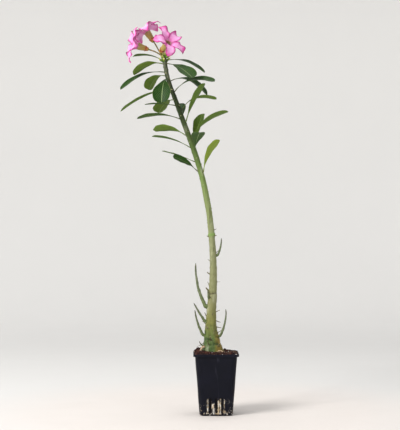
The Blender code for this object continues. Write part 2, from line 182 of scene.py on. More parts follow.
def cap_of(foot, outward):
    """The vertices of the flat end that foot is on, which faces outward."""
    start = max(foot.link_faces, key=lambda face: face.normal.dot(outward))
    faces, todo = {start}, [start]
    while todo:
        for edge in todo.pop().edges:
            for face in edge.link_faces:
                if face not in faces and face.normal.dot(start.normal) > 0.995:
                    faces.add(face)
                    todo.append(face)
    return {vert for face in faces for vert in face.verts}


def tube_line(node):
    """Centres and radii of a round tube's rings, from the end at the stem to its tip."""
    bm = welded(node)
    foot = min(bm.verts, key=lambda vert: stem_line.gap(vert.co))
    tip = max(bm.verts, key=lambda vert: (vert.co - foot.co).length)
    rings = rings_from(cap_of(foot, (foot.co - tip.co).normalized()))
    centres = [mean([vert.co for vert in ring]) for ring in rings]
    radii = [
        sum((vert.co - centre).length for vert in ring) / len(ring)
        for ring, centre in zip(rings, centres)
    ]
    bm.free()
    return centres, radii


def rooted(centres):
    """The same line, begun a little inside the stem."""
    foot = centres[0]
    inside, _ = stem_line.at(foot.z - stem_line.gap(foot) * ROOT_DROP)
    return [foot.lerp(inside, ROOT_DEPTH)] + centres


def rooted_tube(node):
    """A tube's centres and radii, begun a little inside the stem."""
    centres, radii = tube_line(node)
    return rooted(centres), [radii[0]] + radii


class Station:
    """A cut across a leaf: its midrib, the way across it, its half width and how its margins rise."""

    def __init__(self, ring):
        points = [vert.co.copy() for vert in ring]
        centre = mean(points)
        spread = np.array([point - centre for point in points])
        self.side = Vector(np.linalg.eigh(spread.T @ spread)[1][:, -1])
        points.sort(key=lambda point: (point - centre).dot(self.side))
        half_count = len(points) // 2
        self.mid = mean(points[half_count - 1 : half_count + 1])
        margin = mean(points[:2] + points[-2:])
        self.half = (points[-1] - points[0]).dot(self.side) / 2
        self.lift = margin - self.mid


def leaf_stations(node):
    bm = welded(node)
    foot = min(bm.verts, key=lambda vert: stem_line.gap(vert.co))
    first = {vert for vert in bm.verts if (vert.co - foot.co).length < LEAF_FOOT}
    stations = [Station(ring) for ring in rings_from(first)]
    bm.free()
    for before, station in zip(stations, stations[1:]):
        if before.side.dot(station.side) < 0:
            station.side.negate()
    for index, station in enumerate(stations):
        ahead = stations[min(index + 1, len(stations) - 1)].mid
        behind = stations[max(index - 1, 0)].mid
        station.along = (ahead - behind).normalized()
        station.side = (station.side - station.along * station.side.dot(station.along)).normalized()
    widest = max(stations, key=lambda station: station.half)
    if widest.along.cross(widest.side).dot(widest.lift) < 0:
        for station in stations:
            station.side.negate()
    return stations


# Making objects


def finished(name, mesh, finish_names, *nodes, slot):
    """A piece of that mesh, on the one body, in place of those frame nodes."""
    obj = bpy.data.objects.new(name, mesh)
    bpy.context.scene.collection.objects.link(obj)
    mesh.materials.clear()
    for finish_name in finish_names:
        mesh.materials.append(FINISHES[finish_name]())
    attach(obj, BODY)
    if nodes:
        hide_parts(*nodes)


def smooth_mesh(bm, name):
    mesh = bpy.data.meshes.new(name)
    bm.to_mesh(mesh)
    bm.free()
    mesh.shade_smooth()
    return mesh


def baked(obj, name):
    """The mesh of obj with its modifiers applied. The object is removed."""
    graph = bpy.context.evaluated_depsgraph_get()
    mesh = bpy.data.meshes.new_from_object(obj.evaluated_get(graph))
    mesh.name = name
    bpy.data.objects.remove(obj, do_unlink=True)
    return mesh


def loose(name, mesh):
    """A working object that isn't a piece."""
    obj = bpy.data.objects.new(name, mesh)
    bpy.context.scene.collection.objects.link(obj)
    return obj


def set_uv(mesh, places):
    """Writes a UV map from each vertex's (u, v)."""
    layer = mesh.uv_layers.new(name="along")
    for loop in mesh.loops:
        layer.data[loop.index].uv = places[loop.vertex_index]


def finished_skin(name, made, finish_name, node, slot):
    """A piece of a skin's bmesh and UV places."""
    bm, places = made
    mesh = smooth_mesh(bm, name)
    set_uv(mesh, places)
    finished(name, mesh, [finish_name], node, slot=slot)


def shelled(mesh, name, thickness, inside=0):
    """The sheet as a shell, whose inner side takes the material that many places on."""
    holder = loose(name, mesh)
    shell = holder.modifiers.new("shell", "SOLIDIFY")
    shell.thickness, shell.offset, shell.material_offset = thickness, 0, inside
    return baked(holder, name)


def set_number(mesh, name, values):
    attribute = mesh.attributes.new(name, "FLOAT", "POINT")
    attribute.data.foreach_set("value", np.array(values, np.float32))


def frames_along(points):
    """For each point of a line: the way along it and two ways across it, without twist."""
    ways = []
    for index in range(len(points)):
        ahead = points[min(index + 1, len(points) - 1)]
        behind = points[max(index - 1, 0)]
        ways.append((ahead - behind).normalized())
    across = ways[0].cross(Vector((0, 1, 0.01))).normalized()
    found = []
    for way in ways:
        across = (across - way * across.dot(way)).normalized()
        found.append((way, across, way.cross(across)))
    return found


def banded(bm, rings):
    """Bands of faces from each ring of vertices to the next."""
    faces = []
    for low, high in zip(rings, rings[1:]):
        for index in range(len(low)):
            after = (index + 1) % len(low)
            faces.append(bm.faces.new((low[index], low[after], high[after], high[index])))
    return faces


def capped(bm, ring, middle):
    """A fan of faces that closes a ring at a middle point."""
    centre = bm.verts.new(middle)
    for index in range(len(ring)):
        bm.faces.new((centre, ring[(index + 1) % len(ring)], ring[index]))


def skin(points, radii, sides, shape=None):
    """A round skin along points, closed at both ends.

    shape(share along, angle, radius) may change the radius. Returns the mesh and its UV places.
    """
    bm = bmesh.new()
    rings, places = [], []
    frames = frames_along(points)
    count = len(points) - 1
    for index, (point, radius) in enumerate(zip(points, radii)):
        _, across, up = frames[index]
        ring = []
        for side in range(sides):
            angle = 2 * math.pi * side / sides
            out = shape(index / count, angle, radius) if shape else radius
            way = across * math.cos(angle) + up * math.sin(angle)
            ring.append(bm.verts.new(point + way * out))
            places.append((side / sides, index / count))
        rings.append(ring)
    banded(bm, rings)
    foot = bm.verts.new(points[0])
    tip = bm.verts.new(points[-1] + frames[-1][0] * (radii[-1] * TIP_ROUND))
    places += [(0.5, 0), (0.5, 1)]
    for side in range(sides):
        after = (side + 1) % sides
        bm.faces.new((foot, rings[0][after], rings[0][side]))
        bm.faces.new((tip, rings[-1][side], rings[-1][after]))
    bmesh.ops.recalc_face_normals(bm, faces=bm.faces)
    return bm, places


def resampled(rows, count):
    return [smooth_between(rows, (len(rows) - 1) * step / count) for step in range(count + 1)]


# Node trees


class Tree:
    """Short ways to add nodes to a node tree and join them."""

    def __init__(self, tree):
        self.tree = tree

    def add(self, kind, settings=None, **inputs):
        node = self.tree.nodes.new(kind)
        for name, value in (settings or {}).items():
            setattr(node, name, value)
        for name, value in inputs.items():
            self.feed(node.inputs[name.replace("_", " ")], value)
        return node

    def feed(self, socket, value):
        if isinstance(value, bpy.types.NodeSocket):
            self.tree.links.new(value, socket)
        elif value is not None:
            socket.default_value = value

    def maths(self, operation, *values):
        node = self.tree.nodes.new("ShaderNodeMath")
        node.operation = operation
        for socket, value in zip(node.inputs, values):
            self.feed(socket, value)
        return node.outputs[0]

    def times(self, *values):
        return self.maths("MULTIPLY", *values)

    def plus(self, *values):
        return self.maths("ADD", *values)

    def less(self, *values):
        return self.maths("SUBTRACT", *values)

    def most(self, *values):
        return self.maths("MAXIMUM", *values)

    def vector(self, operation, *values):
        node = self.tree.nodes.new("ShaderNodeVectorMath")
        node.operation = operation
        for socket, value in zip(node.inputs, values):
            self.feed(socket, value)
        return node.outputs[0]

    def lengthened(self, vector, factor):
        node = self.add("ShaderNodeVectorMath", {"operation": "SCALE"}, Scale=factor)
        self.feed(node.inputs[0], vector)
        return node.outputs[0]


class Finish(Tree):
    """A procedural material for one kind of surface."""

    def __init__(self, name, **constants):
        self.material = bpy.data.materials.new(name)
        self.material.use_nodes = True
        super().__init__(self.material.node_tree)
        self.shader = self.tree.nodes["Principled BSDF"]
        for socket, value in constants.items():
            self.shader.inputs[socket.replace("_", " ")].default_value = value
        self.place = self.add("ShaderNodeTexCoord").outputs["Object"]

    def scaled(self, x, y, z):
        """Object coordinates, stretched to this many repeats in each metre."""
        return self.vector("MULTIPLY", self.place, (x, y, z))

    def axis(self, name, vector=None):
        return self.add("ShaderNodeSeparateXYZ", Vector=vector or self.place).outputs[name]

    def uv(self):
        return self.add("ShaderNodeUVMap", {"uv_map": "along"}).outputs["UV"]

    def number(self, name):
        return self.add("ShaderNodeAttribute", {"attribute_name": name}).outputs["Fac"]

    def noise(self, scale, vector=None, detail=3.0, rough=0.55, twist=0.0):
        return self.add(
            "ShaderNodeTexNoise",
            Vector=vector or self.place,
            Scale=scale,
            Detail=detail,
            Roughness=rough,
            Distortion=twist,
        ).outputs["Fac"]

    def cells(self, scale, output="Distance"):
        return self.add("ShaderNodeTexVoronoi", Vector=self.place, Scale=scale).outputs[output]

    def ramp(self, value, *stops):
        """Colours by value. A stop is (place, red, green, blue), the colour as for shade()."""
        node = self.add("ShaderNodeValToRGB", Fac=value)
        elements = node.color_ramp.elements
        while len(elements) < len(stops):
            elements.new(0.5)
        for element, (place, *colour) in zip(elements, stops):
            element.position = place
            element.color = (*shade(*colour), 1)
        return node.outputs["Color"]

    def span(self, value, low, high, to_low=0.0, to_high=1.0):
        node = self.tree.nodes.new("ShaderNodeMapRange")
        node.interpolation_type = "SMOOTHSTEP"
        for socket, given in zip(node.inputs, (value, low, high, to_low, to_high)):
            self.feed(socket, given)
        return node.outputs[0]

    def drift(self, amount, scale, **noise):
        """A noise that swings to both sides of nothing, by half the amount."""
        return self.times(self.less(self.noise(scale, **noise), 0.5), amount)

    def lines(self, value, half_width):
        """1 along thin lines, one for each whole step of value, and 0 between them."""
        off = self.maths("ABSOLUTE", self.less(self.maths("FRACT", value), 0.5))
        return self.span(off, half_width, LINE_CORE)

    def from_rib(self, uv):
        """How far a place is from the middle of a leaf or a lobe, from 0 to 0.5 at its margin."""
        return self.maths("ABSOLUTE", self.less(self.axis("X", uv), 0.5))

    def mix(self, share, one, other):
        node = self.add("ShaderNodeMix", {"data_type": "RGBA"})
        for socket, value in zip((node.inputs[0], node.inputs[6], node.inputs[7]), (share, one, other)):
            if isinstance(value, tuple):
                value = (*value, 1)
            self.feed(socket, value)
        return node.outputs[2]

    def colour(self, value):
        self.feed(self.shader.inputs["Base Color"], value)

    def rough(self, value):
        self.feed(self.shader.inputs["Roughness"], value)

    def rough_by(self, tone, smooth, rough):
        """Roughness that rises with a noise, through the middle of its range."""
        self.rough(self.span(tone, 0.3, 0.7, smooth, rough))

    def mottled(self, tone, smooth, rough, *stops):
        """Colour and roughness that both follow one tone."""
        self.colour(self.ramp(tone, *stops))
        self.rough_by(tone, smooth, rough)

    def bump(self, height, depth, before=None):
        node = self.add("ShaderNodeBump", Height=height, Distance=depth, Strength=1.0)
        if before:
            self.feed(node.inputs["Normal"], before)
        self.feed(self.shader.inputs["Normal"], node.outputs[0])
        return node.outputs[0]


FINISHES = {}


def finish(**sockets):
    """Keeps a finish's material, so that pieces that share it share one material.

    The sockets are the shader's own settings that are the same all over the surface.
    """

    def keep(maker):
        def material():
            found = bpy.data.materials.get(maker.__name__)
            if found is None:
                look = Finish(maker.__name__, **sockets)
                maker(look)
                found = look.material
            return found

        FINISHES[maker.__name__] = material
        return material

    return keep


def shade(red, green, blue):
    """A colour given as it looks, on a scale of 255, as the linear light that a shader takes."""

    def linear(value):
        value /= 255
        return value / 12.92 if value <= 0.04045 else ((value + 0.055) / 1.055) ** 2.4

    return linear(red), linear(green), linear(blue)


# Finishes

POT_BLACK = shade(5, 7, 20)
POT_WORN = shade(18, 19, 34)
LIME = shade(228, 224, 216)
LIME_TAN = shade(186, 166, 134)
# Where lime has dried on the front: left, right and top of each strip, in metres.
LIME_STRIPS = (
    (-0.0175, -0.0150, 0.034),
    (-0.0080, -0.0030, 0.028),
    (0.0036, 0.0096, 0.033),
    (0.0146, 0.0160, 0.035),
)
LIME_BLUR = 0.0008


@finish(Specular_IOR_Level=0.16)
def pot_plastic(look):
    """Bluish black plastic: faint scuffs, dust, and lime dried on round the drain slots."""
    scuff = look.noise(90, look.scaled(1, 1, 0.12), detail=5, twist=0.6)
    cloud = look.noise(28, detail=4)
    base = look.mix(look.span(cloud, 0.45, 0.75, 0, 0.55), POT_BLACK, POT_WORN)
    base = look.mix(look.span(scuff, 0.64, 0.74, 0, 0.4), base, shade(58, 60, 74))
    height = look.axis("Z")
    front = look.span(look.axis("Y"), -0.012, -0.030)
    ragged = look.noise(120, detail=4, twist=1.0)
    streak = look.noise(420, look.scaled(1, 1, 0.16), detail=3)
    sway = look.drift(0.004, 150, detail=3)
    across = look.plus(look.axis("X"), sway)
    crust = None
    for left, right, top in LIME_STRIPS:
        strip = look.times(
            look.span(across, left - LIME_BLUR, left + LIME_BLUR),
            look.span(across, right + LIME_BLUR, right - LIME_BLUR),
        )
        cut_off = look.plus(height, look.times(ragged, 0.026))
        strip = look.times(strip, look.span(cut_off, top + 0.013, top + 0.009))
        crust = look.most(crust, strip) if crust else strip
    crust = look.times(crust, look.span(height, 0.0022, 0.0055))
    crust = look.times(crust, look.span(streak, 0.40, 0.54, 0.05, 1.0))
    crust = look.times(crust, front)
    hem = look.times(look.span(height, 0.0032, 0.0042), look.span(height, 0.0085, 0.0055))
    hem = look.times(hem, look.span(ragged, 0.53, 0.60, 0, 0.85))
    low = look.span(height, 0.036, 0.006)
    speck = look.span(look.cells(210), 0.16, 0.08)
    speck = look.times(speck, look.span(look.noise(60, detail=2), 0.46, 0.54))
    speck = look.times(speck, look.times(low, front))
    smear = look.times(look.span(look.noise(75, detail=5, twist=1.5), 0.55, 0.66), low)
    smear = look.times(smear, 0.55)
    lime = look.most(look.most(crust, hem), look.most(speck, smear))
    lime_colour = look.mix(look.span(look.noise(260, detail=3), 0.42, 0.62), LIME_TAN, LIME)
    look.colour(look.mix(lime, base, lime_colour))
    rough = look.span(cloud, 0.3, 0.7, 0.34, 0.52)
    look.rough(look.plus(rough, look.times(lime, 0.4)))
    fine = look.bump(look.noise(1400, detail=2), 0.00004)
    fine = look.bump(scuff, 0.00012, before=fine)
    look.bump(look.times(lime, look.noise(700, detail=4)), 0.0006, before=fine)


@finish(Specular_IOR_Level=0.2)
def potting_soil(look):
    """Dark reddish brown compost, coarse and slightly damp; below its top the sides are painted
    near-black as shade, the shadow inside the pot where the soil shows through the drain slots.
    """
    lump = look.noise(160, detail=6)
    grain = look.cells(620)
    colour = look.ramp(
        lump,
        (0.30, 17, 8, 8),
        (0.48, 38, 19, 17),
        (0.62, 60, 32, 27),
        (0.74, 90, 58, 44),
    )
    light = look.span(look.cells(900, output="Color"), 0.80, 0.92, 0, 0.5)
    colour = look.mix(light, colour, shade(134, 98, 72))
    # Painted shade: below 78 mm the soil's colour turns near-black, standing in for the shadow inside
    # the pot seen through the drain slots.
    look.colour(look.mix(look.span(look.axis("Z"), 0.078, 0.062, 0, 0.9), colour, shade(9, 7, 8)))
    look.rough_by(lump, 0.62, 0.95)
    first = look.bump(grain, 0.0010)
    look.bump(look.noise(1500, detail=3), 0.0003, before=first)


@finish(Specular_IOR_Level=0.2)
def soil_crumb(look):
    """Single crumbs of bark and peat."""
    tone = look.noise(210, detail=4)
    look.mottled(
        tone,
        0.6,
        0.92,
        (0.34, 20, 9, 9),
        (0.50, 45, 21, 19),
        (0.60, 70, 37, 30),
        (0.70, 116, 76, 56),
    )
    look.bump(look.noise(1800, detail=3), 0.0003)


@finish()
def perlite(look):
    """Off-white puffed grains, dusty with soil."""
    tone = look.noise(420, detail=4)
    look.mottled(tone, 0.7, 0.95, (0.32, 168, 146, 128), (0.55, 232, 226, 216))
    look.bump(look.cells(1600), 0.0004)


@finish()
def dry_fibre(look):
    """Dry tan roots and fibres."""
    tone = look.noise(300, detail=3)
    look.mottled(tone, 0.6, 0.9, (0.3, 120, 92, 66), (0.65, 202, 178, 146))
    look.bump(look.noise(1500, look.scaled(1, 1, 0.4), detail=2), 0.0002)


@finish(Specular_IOR_Level=0.28)
def stem_bark(look):
    """Grey-green bark, greener and olive on the swollen foot, dark towards the flowers."""
    height = look.times(look.axis("Z"), 1 / 0.72)
    wander = look.drift(0.05, 22, detail=4)
    place = look.plus(height, wander)
    base = look.ramp(
        place,
        (0.16, 58, 84, 34),
        (0.20, 76, 98, 44),
        (0.25, 116, 116, 58),
        (0.30, 124, 124, 82),
        (0.46, 128, 132, 94),
        (0.55, 122, 132, 84),
        (0.64, 104, 126, 64),
        (0.72, 78, 98, 44),
        (0.79, 47, 64, 24),
        (0.88, 29, 40, 14),
        (0.98, 36, 55, 18),
    )
    foot = look.span(height, 0.262, 0.205)
    right = look.span(look.axis("X"), -0.006, 0.006)
    olive = look.times(look.times(foot, right), 0.9)
    base = look.mix(olive, base, shade(134, 112, 48))
    pale = look.span(look.noise(44, look.scaled(1, 1, 0.35), detail=5), 0.54, 0.68, 0, 0.5)
    base = look.mix(pale, base, shade(176, 178, 150))
    streak = look.noise(230, look.scaled(1, 1, 0.10), detail=4)
    base = look.mix(look.span(streak, 0.56, 0.68, 0, 0.6), base, shade(78, 80, 50))
    patch = look.times(look.span(look.noise(95, detail=5, twist=0.8), 0.52, 0.62), foot)
    base = look.mix(look.times(patch, 0.75), base, shade(38, 58, 22))
    dots = look.span(look.cells(430), 0.13, 0.07, 0, 0.55)
    base = look.mix(dots, base, shade(88, 80, 52))
    scar = look.number("scar")
    base = look.mix(look.times(scar, 0.85), base, shade(58, 46, 30))
    burl = look.number("burl")
    base = look.mix(look.times(burl, 0.7), base, shade(112, 148, 64))
    look.colour(base)
    look.rough_by(streak, 0.42, 0.62)
    first = look.bump(streak, 0.0005)
    first = look.bump(look.noise(420, detail=4), 0.0003, before=first)
    look.bump(dots, 0.0002, before=first)


@finish()
def leaf_scar(look):
    """The corky marks where leaves have dropped."""
    tone = look.noise(500, detail=3)
    look.mottled(tone, 0.55, 0.8, (0.35, 96, 94, 58), (0.65, 150, 150, 108))
    look.bump(look.noise(1300, detail=3), 0.0002)


@finish()
def dead_wood(look):
    """Dry snags and torn bark."""
    tone = look.noise(330, detail=4)
    look.mottled(tone, 0.6, 0.85, (0.32, 58, 50, 34), (0.52, 104, 98, 66), (0.68, 150, 142, 106))
    look.bump(look.noise(1100, look.scaled(1, 1, 0.3), detail=3), 0.0003)


@finish(Specular_IOR_Level=0.25)
def shoot_bark(look):
    """Grey-green young wood, pale where it dries and darker at the tip."""
    place = look.axis("Y", look.uv())
    wander = look.drift(0.5, 120, detail=4)
    base = look.ramp(
        look.plus(place, wander),
        (0.0, 98, 112, 66),
        (0.35, 98, 108, 76),
        (0.75, 92, 100, 74),
        (1.0, 74, 74, 56),
    )
    streak = look.noise(300, look.scaled(1, 1, 0.2), detail=4)
    base = look.mix(look.span(streak, 0.56, 0.7, 0, 0.5), base, shade(150, 154, 128))
    spot = look.span(look.noise(210, detail=3), 0.62, 0.72, 0, 0.7)
    look.colour(look.mix(spot, base, shade(70, 64, 44)))
    look.rough_by(streak, 0.5, 0.72)
    look.bump(streak, 0.0004)


LEAF_TONES = (
    (0.00, 20, 50, 10),
    (0.25, 36, 66, 18),
    (0.50, 64, 92, 26),
    (0.75, 92, 116, 34),
    (1.00, 116, 136, 38),
)
LEAF_UNDER_TONES = (
    (0.00, 60, 84, 48),
    (0.50, 94, 120, 52),
    (1.00, 136, 156, 58),
)


@finish(Specular_IOR_Level=0.12)
def leaf_blade(look):
    """A glossy leaf: dark above with a pale midrib, paler below, with a thin pale margin."""
    uv = look.uv()
    from_rib, along = look.from_rib(uv), look.axis("Y", uv)
    under = look.number("under")
    tone = look.number("tone")
    mottle = look.drift(0.42, 95, detail=5)
    tone = look.plus(tone, mottle)
    top = look.ramp(tone, *LEAF_TONES)
    below = look.ramp(tone, *LEAF_UNDER_TONES)
    base = look.mix(under, top, below)
    slant = look.less(look.times(along, 15), look.times(from_rib, 9))
    vein = look.times(look.lines(slant, 0.09), look.span(from_rib, 0.46, 0.30))
    base = look.mix(look.times(vein, 0.30), base, shade(120, 146, 76))
    rib = look.times(look.span(from_rib, 0.024, 0.009), look.number("rib"))
    base = look.mix(look.times(rib, 0.75), base, shade(176, 196, 140))
    margin = look.times(look.span(from_rib, 0.470, 0.497), 0.5)
    base = look.mix(margin, base, shade(150, 160, 92))
    stalk = look.span(look.plus(along, mottle), 0.17, 0.05, 0, 0.75)
    base = look.mix(stalk, base, shade(84, 72, 46))
    blotch = look.span(look.noise(240, detail=3), 0.68, 0.76, 0, 0.4)
    look.colour(look.mix(blotch, base, shade(96, 88, 48)))
    gloss = look.mix(under, (0.42,) * 3, (0.62,) * 3)
    look.rough(look.plus(look.span(mottle, -0.1, 0.1, -0.05, 0.08), gloss))
    first = look.bump(look.plus(vein, look.times(rib, 2)), -0.00025)
    look.bump(look.noise(900, detail=3), 0.00012, before=first)


@finish(Specular_IOR_Level=0.3)
def bract_green(look):
    """The small dark leaves round the flower stalks, pale at the tip."""
    place = look.axis("Y", look.uv())
    tone = look.plus(place, look.times(look.noise(300, detail=3), 0.3))
    look.colour(
        look.ramp(
            tone,
            (0.15, 74, 104, 28),
            (0.45, 84, 122, 36),
            (0.75, 164, 178, 76),
            (1.00, 232, 226, 160),
        )
    )
    look.rough_by(look.noise(300, detail=3), 0.4, 0.6)
    look.bump(look.noise(1300, detail=3), 0.0002)


PETAL_EDGE = shade(194, 36, 134)
PETAL_RIM = shade(122, 22, 84)


@finish(Specular_IOR_Level=0.2)
def petal_face(look):
    """The inside of a flower: deep pink margins, paler to the middle, yellow-green in the throat."""
    uv = look.uv()
    from_rib, along = look.from_rib(uv), look.axis("Y", uv)
    wash = look.drift(0.34, 210, detail=4)
    base = look.ramp(
        look.plus(along, look.times(wash, 0.4)),
        (0.15, 250, 242, 168),
        (0.44, 248, 244, 178),
        (0.60, 242, 236, 178),
        (0.70, 246, 212, 218),
        (0.83, 236, 132, 198),
        (1.00, 214, 66, 156),
    )
    lobe = look.span(along, 0.44, 0.62)
    edge = look.span(look.plus(from_rib, look.times(wash, 0.7)), 0.24, 0.46)
    base = look.mix(look.times(look.times(edge, lobe), 0.9), base, PETAL_EDGE)
    rim = look.span(look.plus(from_rib, look.times(wash, 0.2)), 0.42, 0.475, 0, 0.9)
    tip = look.span(along, 0.95, 0.99, 0, 0.8)
    rim = look.times(look.most(rim, tip), lobe)
    base = look.mix(rim, base, PETAL_RIM)
    ray = look.times(look.lines(look.times(look.axis("X", uv), 22), 0.10), 0.10)
    base = look.mix(ray, base, shade(206, 84, 156))
    streak = look.span(from_rib, 0.060, 0.015)
    throat = look.times(look.span(along, 0.18, 0.30), look.span(along, 0.56, 0.44))
    look.colour(look.mix(look.times(streak, throat), base, shade(178, 40, 92)))
    look.rough(look.span(wash, -0.1, 0.1, 0.48, 0.62))
    first = look.bump(ray, 0.0004)
    look.bump(look.noise(700, detail=3), 0.00012, before=first)


@finish(Specular_IOR_Level=0.2)
def petal_back(look):
    """The outside of a flower: olive and orange on the tube, then pale pink with darker margins."""
    uv = look.uv()
    from_rib, along = look.from_rib(uv), look.axis("Y", uv)
    wash = look.drift(0.4, 170, detail=4)
    base = look.ramp(
        look.plus(along, wash),
        (0.02, 178, 116, 52),
        (0.15, 172, 146, 78),
        (0.34, 166, 152, 92),
        (0.43, 206, 150, 150),
        (0.50, 230, 132, 196),
        (0.78, 238, 176, 224),
        (1.00, 214, 72, 158),
    )
    lobe = look.span(along, 0.44, 0.60)
    edge = look.span(look.plus(from_rib, look.times(wash, 0.5)), 0.26, 0.48)
    base = look.mix(look.times(look.times(edge, lobe), 0.85), base, PETAL_EDGE)
    rim = look.times(look.span(from_rib, 0.44, 0.485, 0, 0.8), lobe)
    base = look.mix(rim, base, PETAL_RIM)
    ray = look.times(look.lines(look.times(look.axis("X", uv), 14), 0.12), 0.14)
    look.colour(look.mix(ray, base, shade(196, 92, 130)))
    look.rough(look.span(wash, -0.1, 0.1, 0.5, 0.66))
    first = look.bump(ray, 0.0004)
    look.bump(look.noise(800, detail=3), 0.00012, before=first)


@finish()
def sepal(look):
    """The cup under the flower: orange-olive with reddish tips."""
    place = look.axis("Y", look.uv())
    tone = look.plus(place, look.times(look.noise(260, detail=3), 0.3))
    look.colour(
        look.ramp(
            tone,
            (0.15, 126, 128, 52),
            (0.55, 178, 140, 56),
            (0.95, 196, 108, 62),
            (1.20, 164, 66, 60),
        )
    )
    look.rough_by(look.noise(260, detail=3), 0.45, 0.65)
    look.bump(look.noise(1200, detail=3), 0.0002)


@finish()
def flower_stalk(look):
    """An olive-brown stalk with a thin down."""
    tone = look.noise(300, look.scaled(1, 1, 0.5), detail=4)
    look.mottled(tone, 0.5, 0.7, (0.34, 82, 76, 34), (0.52, 122, 108, 50), (0.68, 158, 128, 70))
    look.bump(look.noise(1500, detail=3), 0.0002)


@finish()
def anther_down(look):
    """The yellow-green anthers and their thin tails."""
    tone = look.noise(420, detail=3)
    look.mottled(tone, 0.6, 0.85, (0.34, 206, 198, 124), (0.66, 240, 230, 192))
    look.bump(look.noise(2200, detail=2), 0.0002)


@finish(Specular_IOR_Level=0.15)
def studio_paper(look):
    """The floor and the wall behind: pale, a little warmer near the pot."""
    squares = [look.maths("POWER", look.axis(name), 2.0) for name in ("X", "Y")]
    away = look.maths("SQRT", look.plus(*squares))
    cloud = look.noise(0.9, detail=3)
    near = look.mix(look.noise(9, detail=5, twist=0.5), shade(214, 208, 203), shade(221, 215, 211))
    far = look.mix(cloud, shade(212, 211, 209), shade(217, 216, 214))
    wall = look.mix(cloud, shade(234, 233, 231), shade(239, 238, 236))
    level = look.mix(look.span(away, 0.25, 0.60), near, far)
    look.colour(look.mix(look.span(away, 1.3, 2.9), level, wall))
    look.rough_by(look.noise(6, detail=3), 0.72, 0.9)
    look.bump(look.noise(120, detail=3), 0.0002)


# Geometry Nodes


class Recipe(Tree):
    """A Geometry Nodes tree with named inputs, which ends in realized, painted instances."""

    def __init__(self, name, **sizes):
        group = bpy.data.node_groups.new(name, "GeometryNodeTree")
        super().__init__(group)
        panel = group.interface
        panel.new_socket("Base", in_out="INPUT", socket_type="NodeSocketGeometry")
        self.sizes = {}
        for label, value in sizes.items():
            kind = "NodeSocketInt" if isinstance(value, int) else "NodeSocketFloat"
            socket = panel.new_socket(label, in_out="INPUT", socket_type=kind)
            self.sizes[socket.identifier] = value
        panel.new_socket("Pieces", in_out="OUTPUT", socket_type="NodeSocketGeometry")
        self.start = group.nodes.new("NodeGroupInput")
        self.end = group.nodes.new("NodeGroupOutput")

    def given(self, label):
        return self.start.outputs[label]

    def random(self, low, high, salt):
        """A random number or vector for each item."""
        node = self.tree.nodes.new("FunctionNodeRandomValue")
        vector = isinstance(low, tuple)
        node.data_type = "FLOAT_VECTOR" if vector else "FLOAT"
        first = 0 if vector else 2
        self.feed(node.inputs[first], low)
        self.feed(node.inputs[first + 1], high)
        self.feed(node.inputs["Seed"], self.plus(self.given("Seed"), salt))
        return node.outputs[0 if vector else 1]

    def roughened(self, geometry, scale, depth):
        """Moves every point by a noise of its place, so that no two instances are alike."""
        place = self.add("GeometryNodeInputPosition").outputs[0]
        wobble = self.add("ShaderNodeTexNoise", Vector=place, Scale=scale, Detail=1.0)
        push = self.vector("SUBTRACT", wobble.outputs["Color"], (0.5, 0.5, 0.5))
        push = self.vector("MULTIPLY", push, (depth, depth, depth))
        return self.add("GeometryNodeSetPosition", Geometry=geometry, Offset=push).outputs[0]

    def close(self, instances, finish_name, scale, depth):
        """Realizes the instances, roughens them and gives them their finish."""
        made = self.add("GeometryNodeRealizeInstances", Geometry=instances).outputs[0]
        paint = self.add("GeometryNodeSetMaterial", Geometry=self.roughened(made, scale, depth))
        paint.inputs["Material"].default_value = FINISHES[finish_name]()
        self.tree.links.new(paint.outputs[0], self.end.inputs["Pieces"])

    def grown(self, name, base_mesh):
        """The plain mesh that the recipe makes on a base mesh."""
        holder = loose(name, base_mesh)
        modifier = holder.modifiers.new("grow", "NODES")
        modifier.node_group = self.tree
        for identifier, value in self.sizes.items():
            modifier[identifier] = value
        mesh = baked(holder, name)
        if not len(mesh.polygons):
            raise RuntimeError(f"{name}: nothing grew")
        return mesh


def scatter_recipe(name, finish_name, density, small, large, flat, seed, shape):
    """Grains scattered over a surface, each turned and sized at random."""
    recipe = Recipe(name, Density=density, Smallest=small, Largest=large, Seed=seed)
    points = recipe.add(
        "GeometryNodeDistributePointsOnFaces",
        Mesh=recipe.given("Base"),
        Density=recipe.given("Density"),
        Seed=recipe.given("Seed"),
    ).outputs["Points"]
    if shape == "crumb":
        grain = recipe.add("GeometryNodeMeshIcoSphere", Radius=1.0, Subdivisions=2).outputs[0]
    else:
        grain = recipe.add(
            "GeometryNodeMeshCube", Size=(2.0, 1.2, 0.5), Vertices_X=3, Vertices_Y=3, Vertices_Z=2
        ).outputs[0]
    grain = recipe.add("GeometryNodeTransform", Geometry=grain, Scale=(1.0, 0.85, flat)).outputs[0]
    size = recipe.random(recipe.given("Smallest"), recipe.given("Largest"), 3)
    placed = recipe.add(
        "GeometryNodeInstanceOnPoints",
        Points=points,
        Instance=grain,
        Rotation=recipe.random((0.0, 0.0, 0.0), (6.28, 6.28, 6.28), 7),
        Scale=size,
    ).outputs[0]
    recipe.close(placed, finish_name, 0.55 / small, small * 1.3)
    return recipe


# The pot

POT_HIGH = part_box("pot")[1]
POT_TALL = POT_HIGH.z
RIM_HALF = POT_HIGH.x
TOP_HALF = RIM_HALF - 3.5 * MM
BASE_HALF = 32 * MM
WALL = 1.2 * MM
RIM_BAND = 5 * MM
CORNER = 9 * MM
FOOT_ROUND = 4 * MM
SLOT_HALF = 1.8 * MM
SLOT_PITCH = 11 * MM
SLOT_SPAN = (5 * MM, 34 * MM)
DRAIN_RADIUS = 4 * MM
DRAIN_PITCH = 17 * MM
CORNER_STEPS = 8
SIDE_STEPS = 12


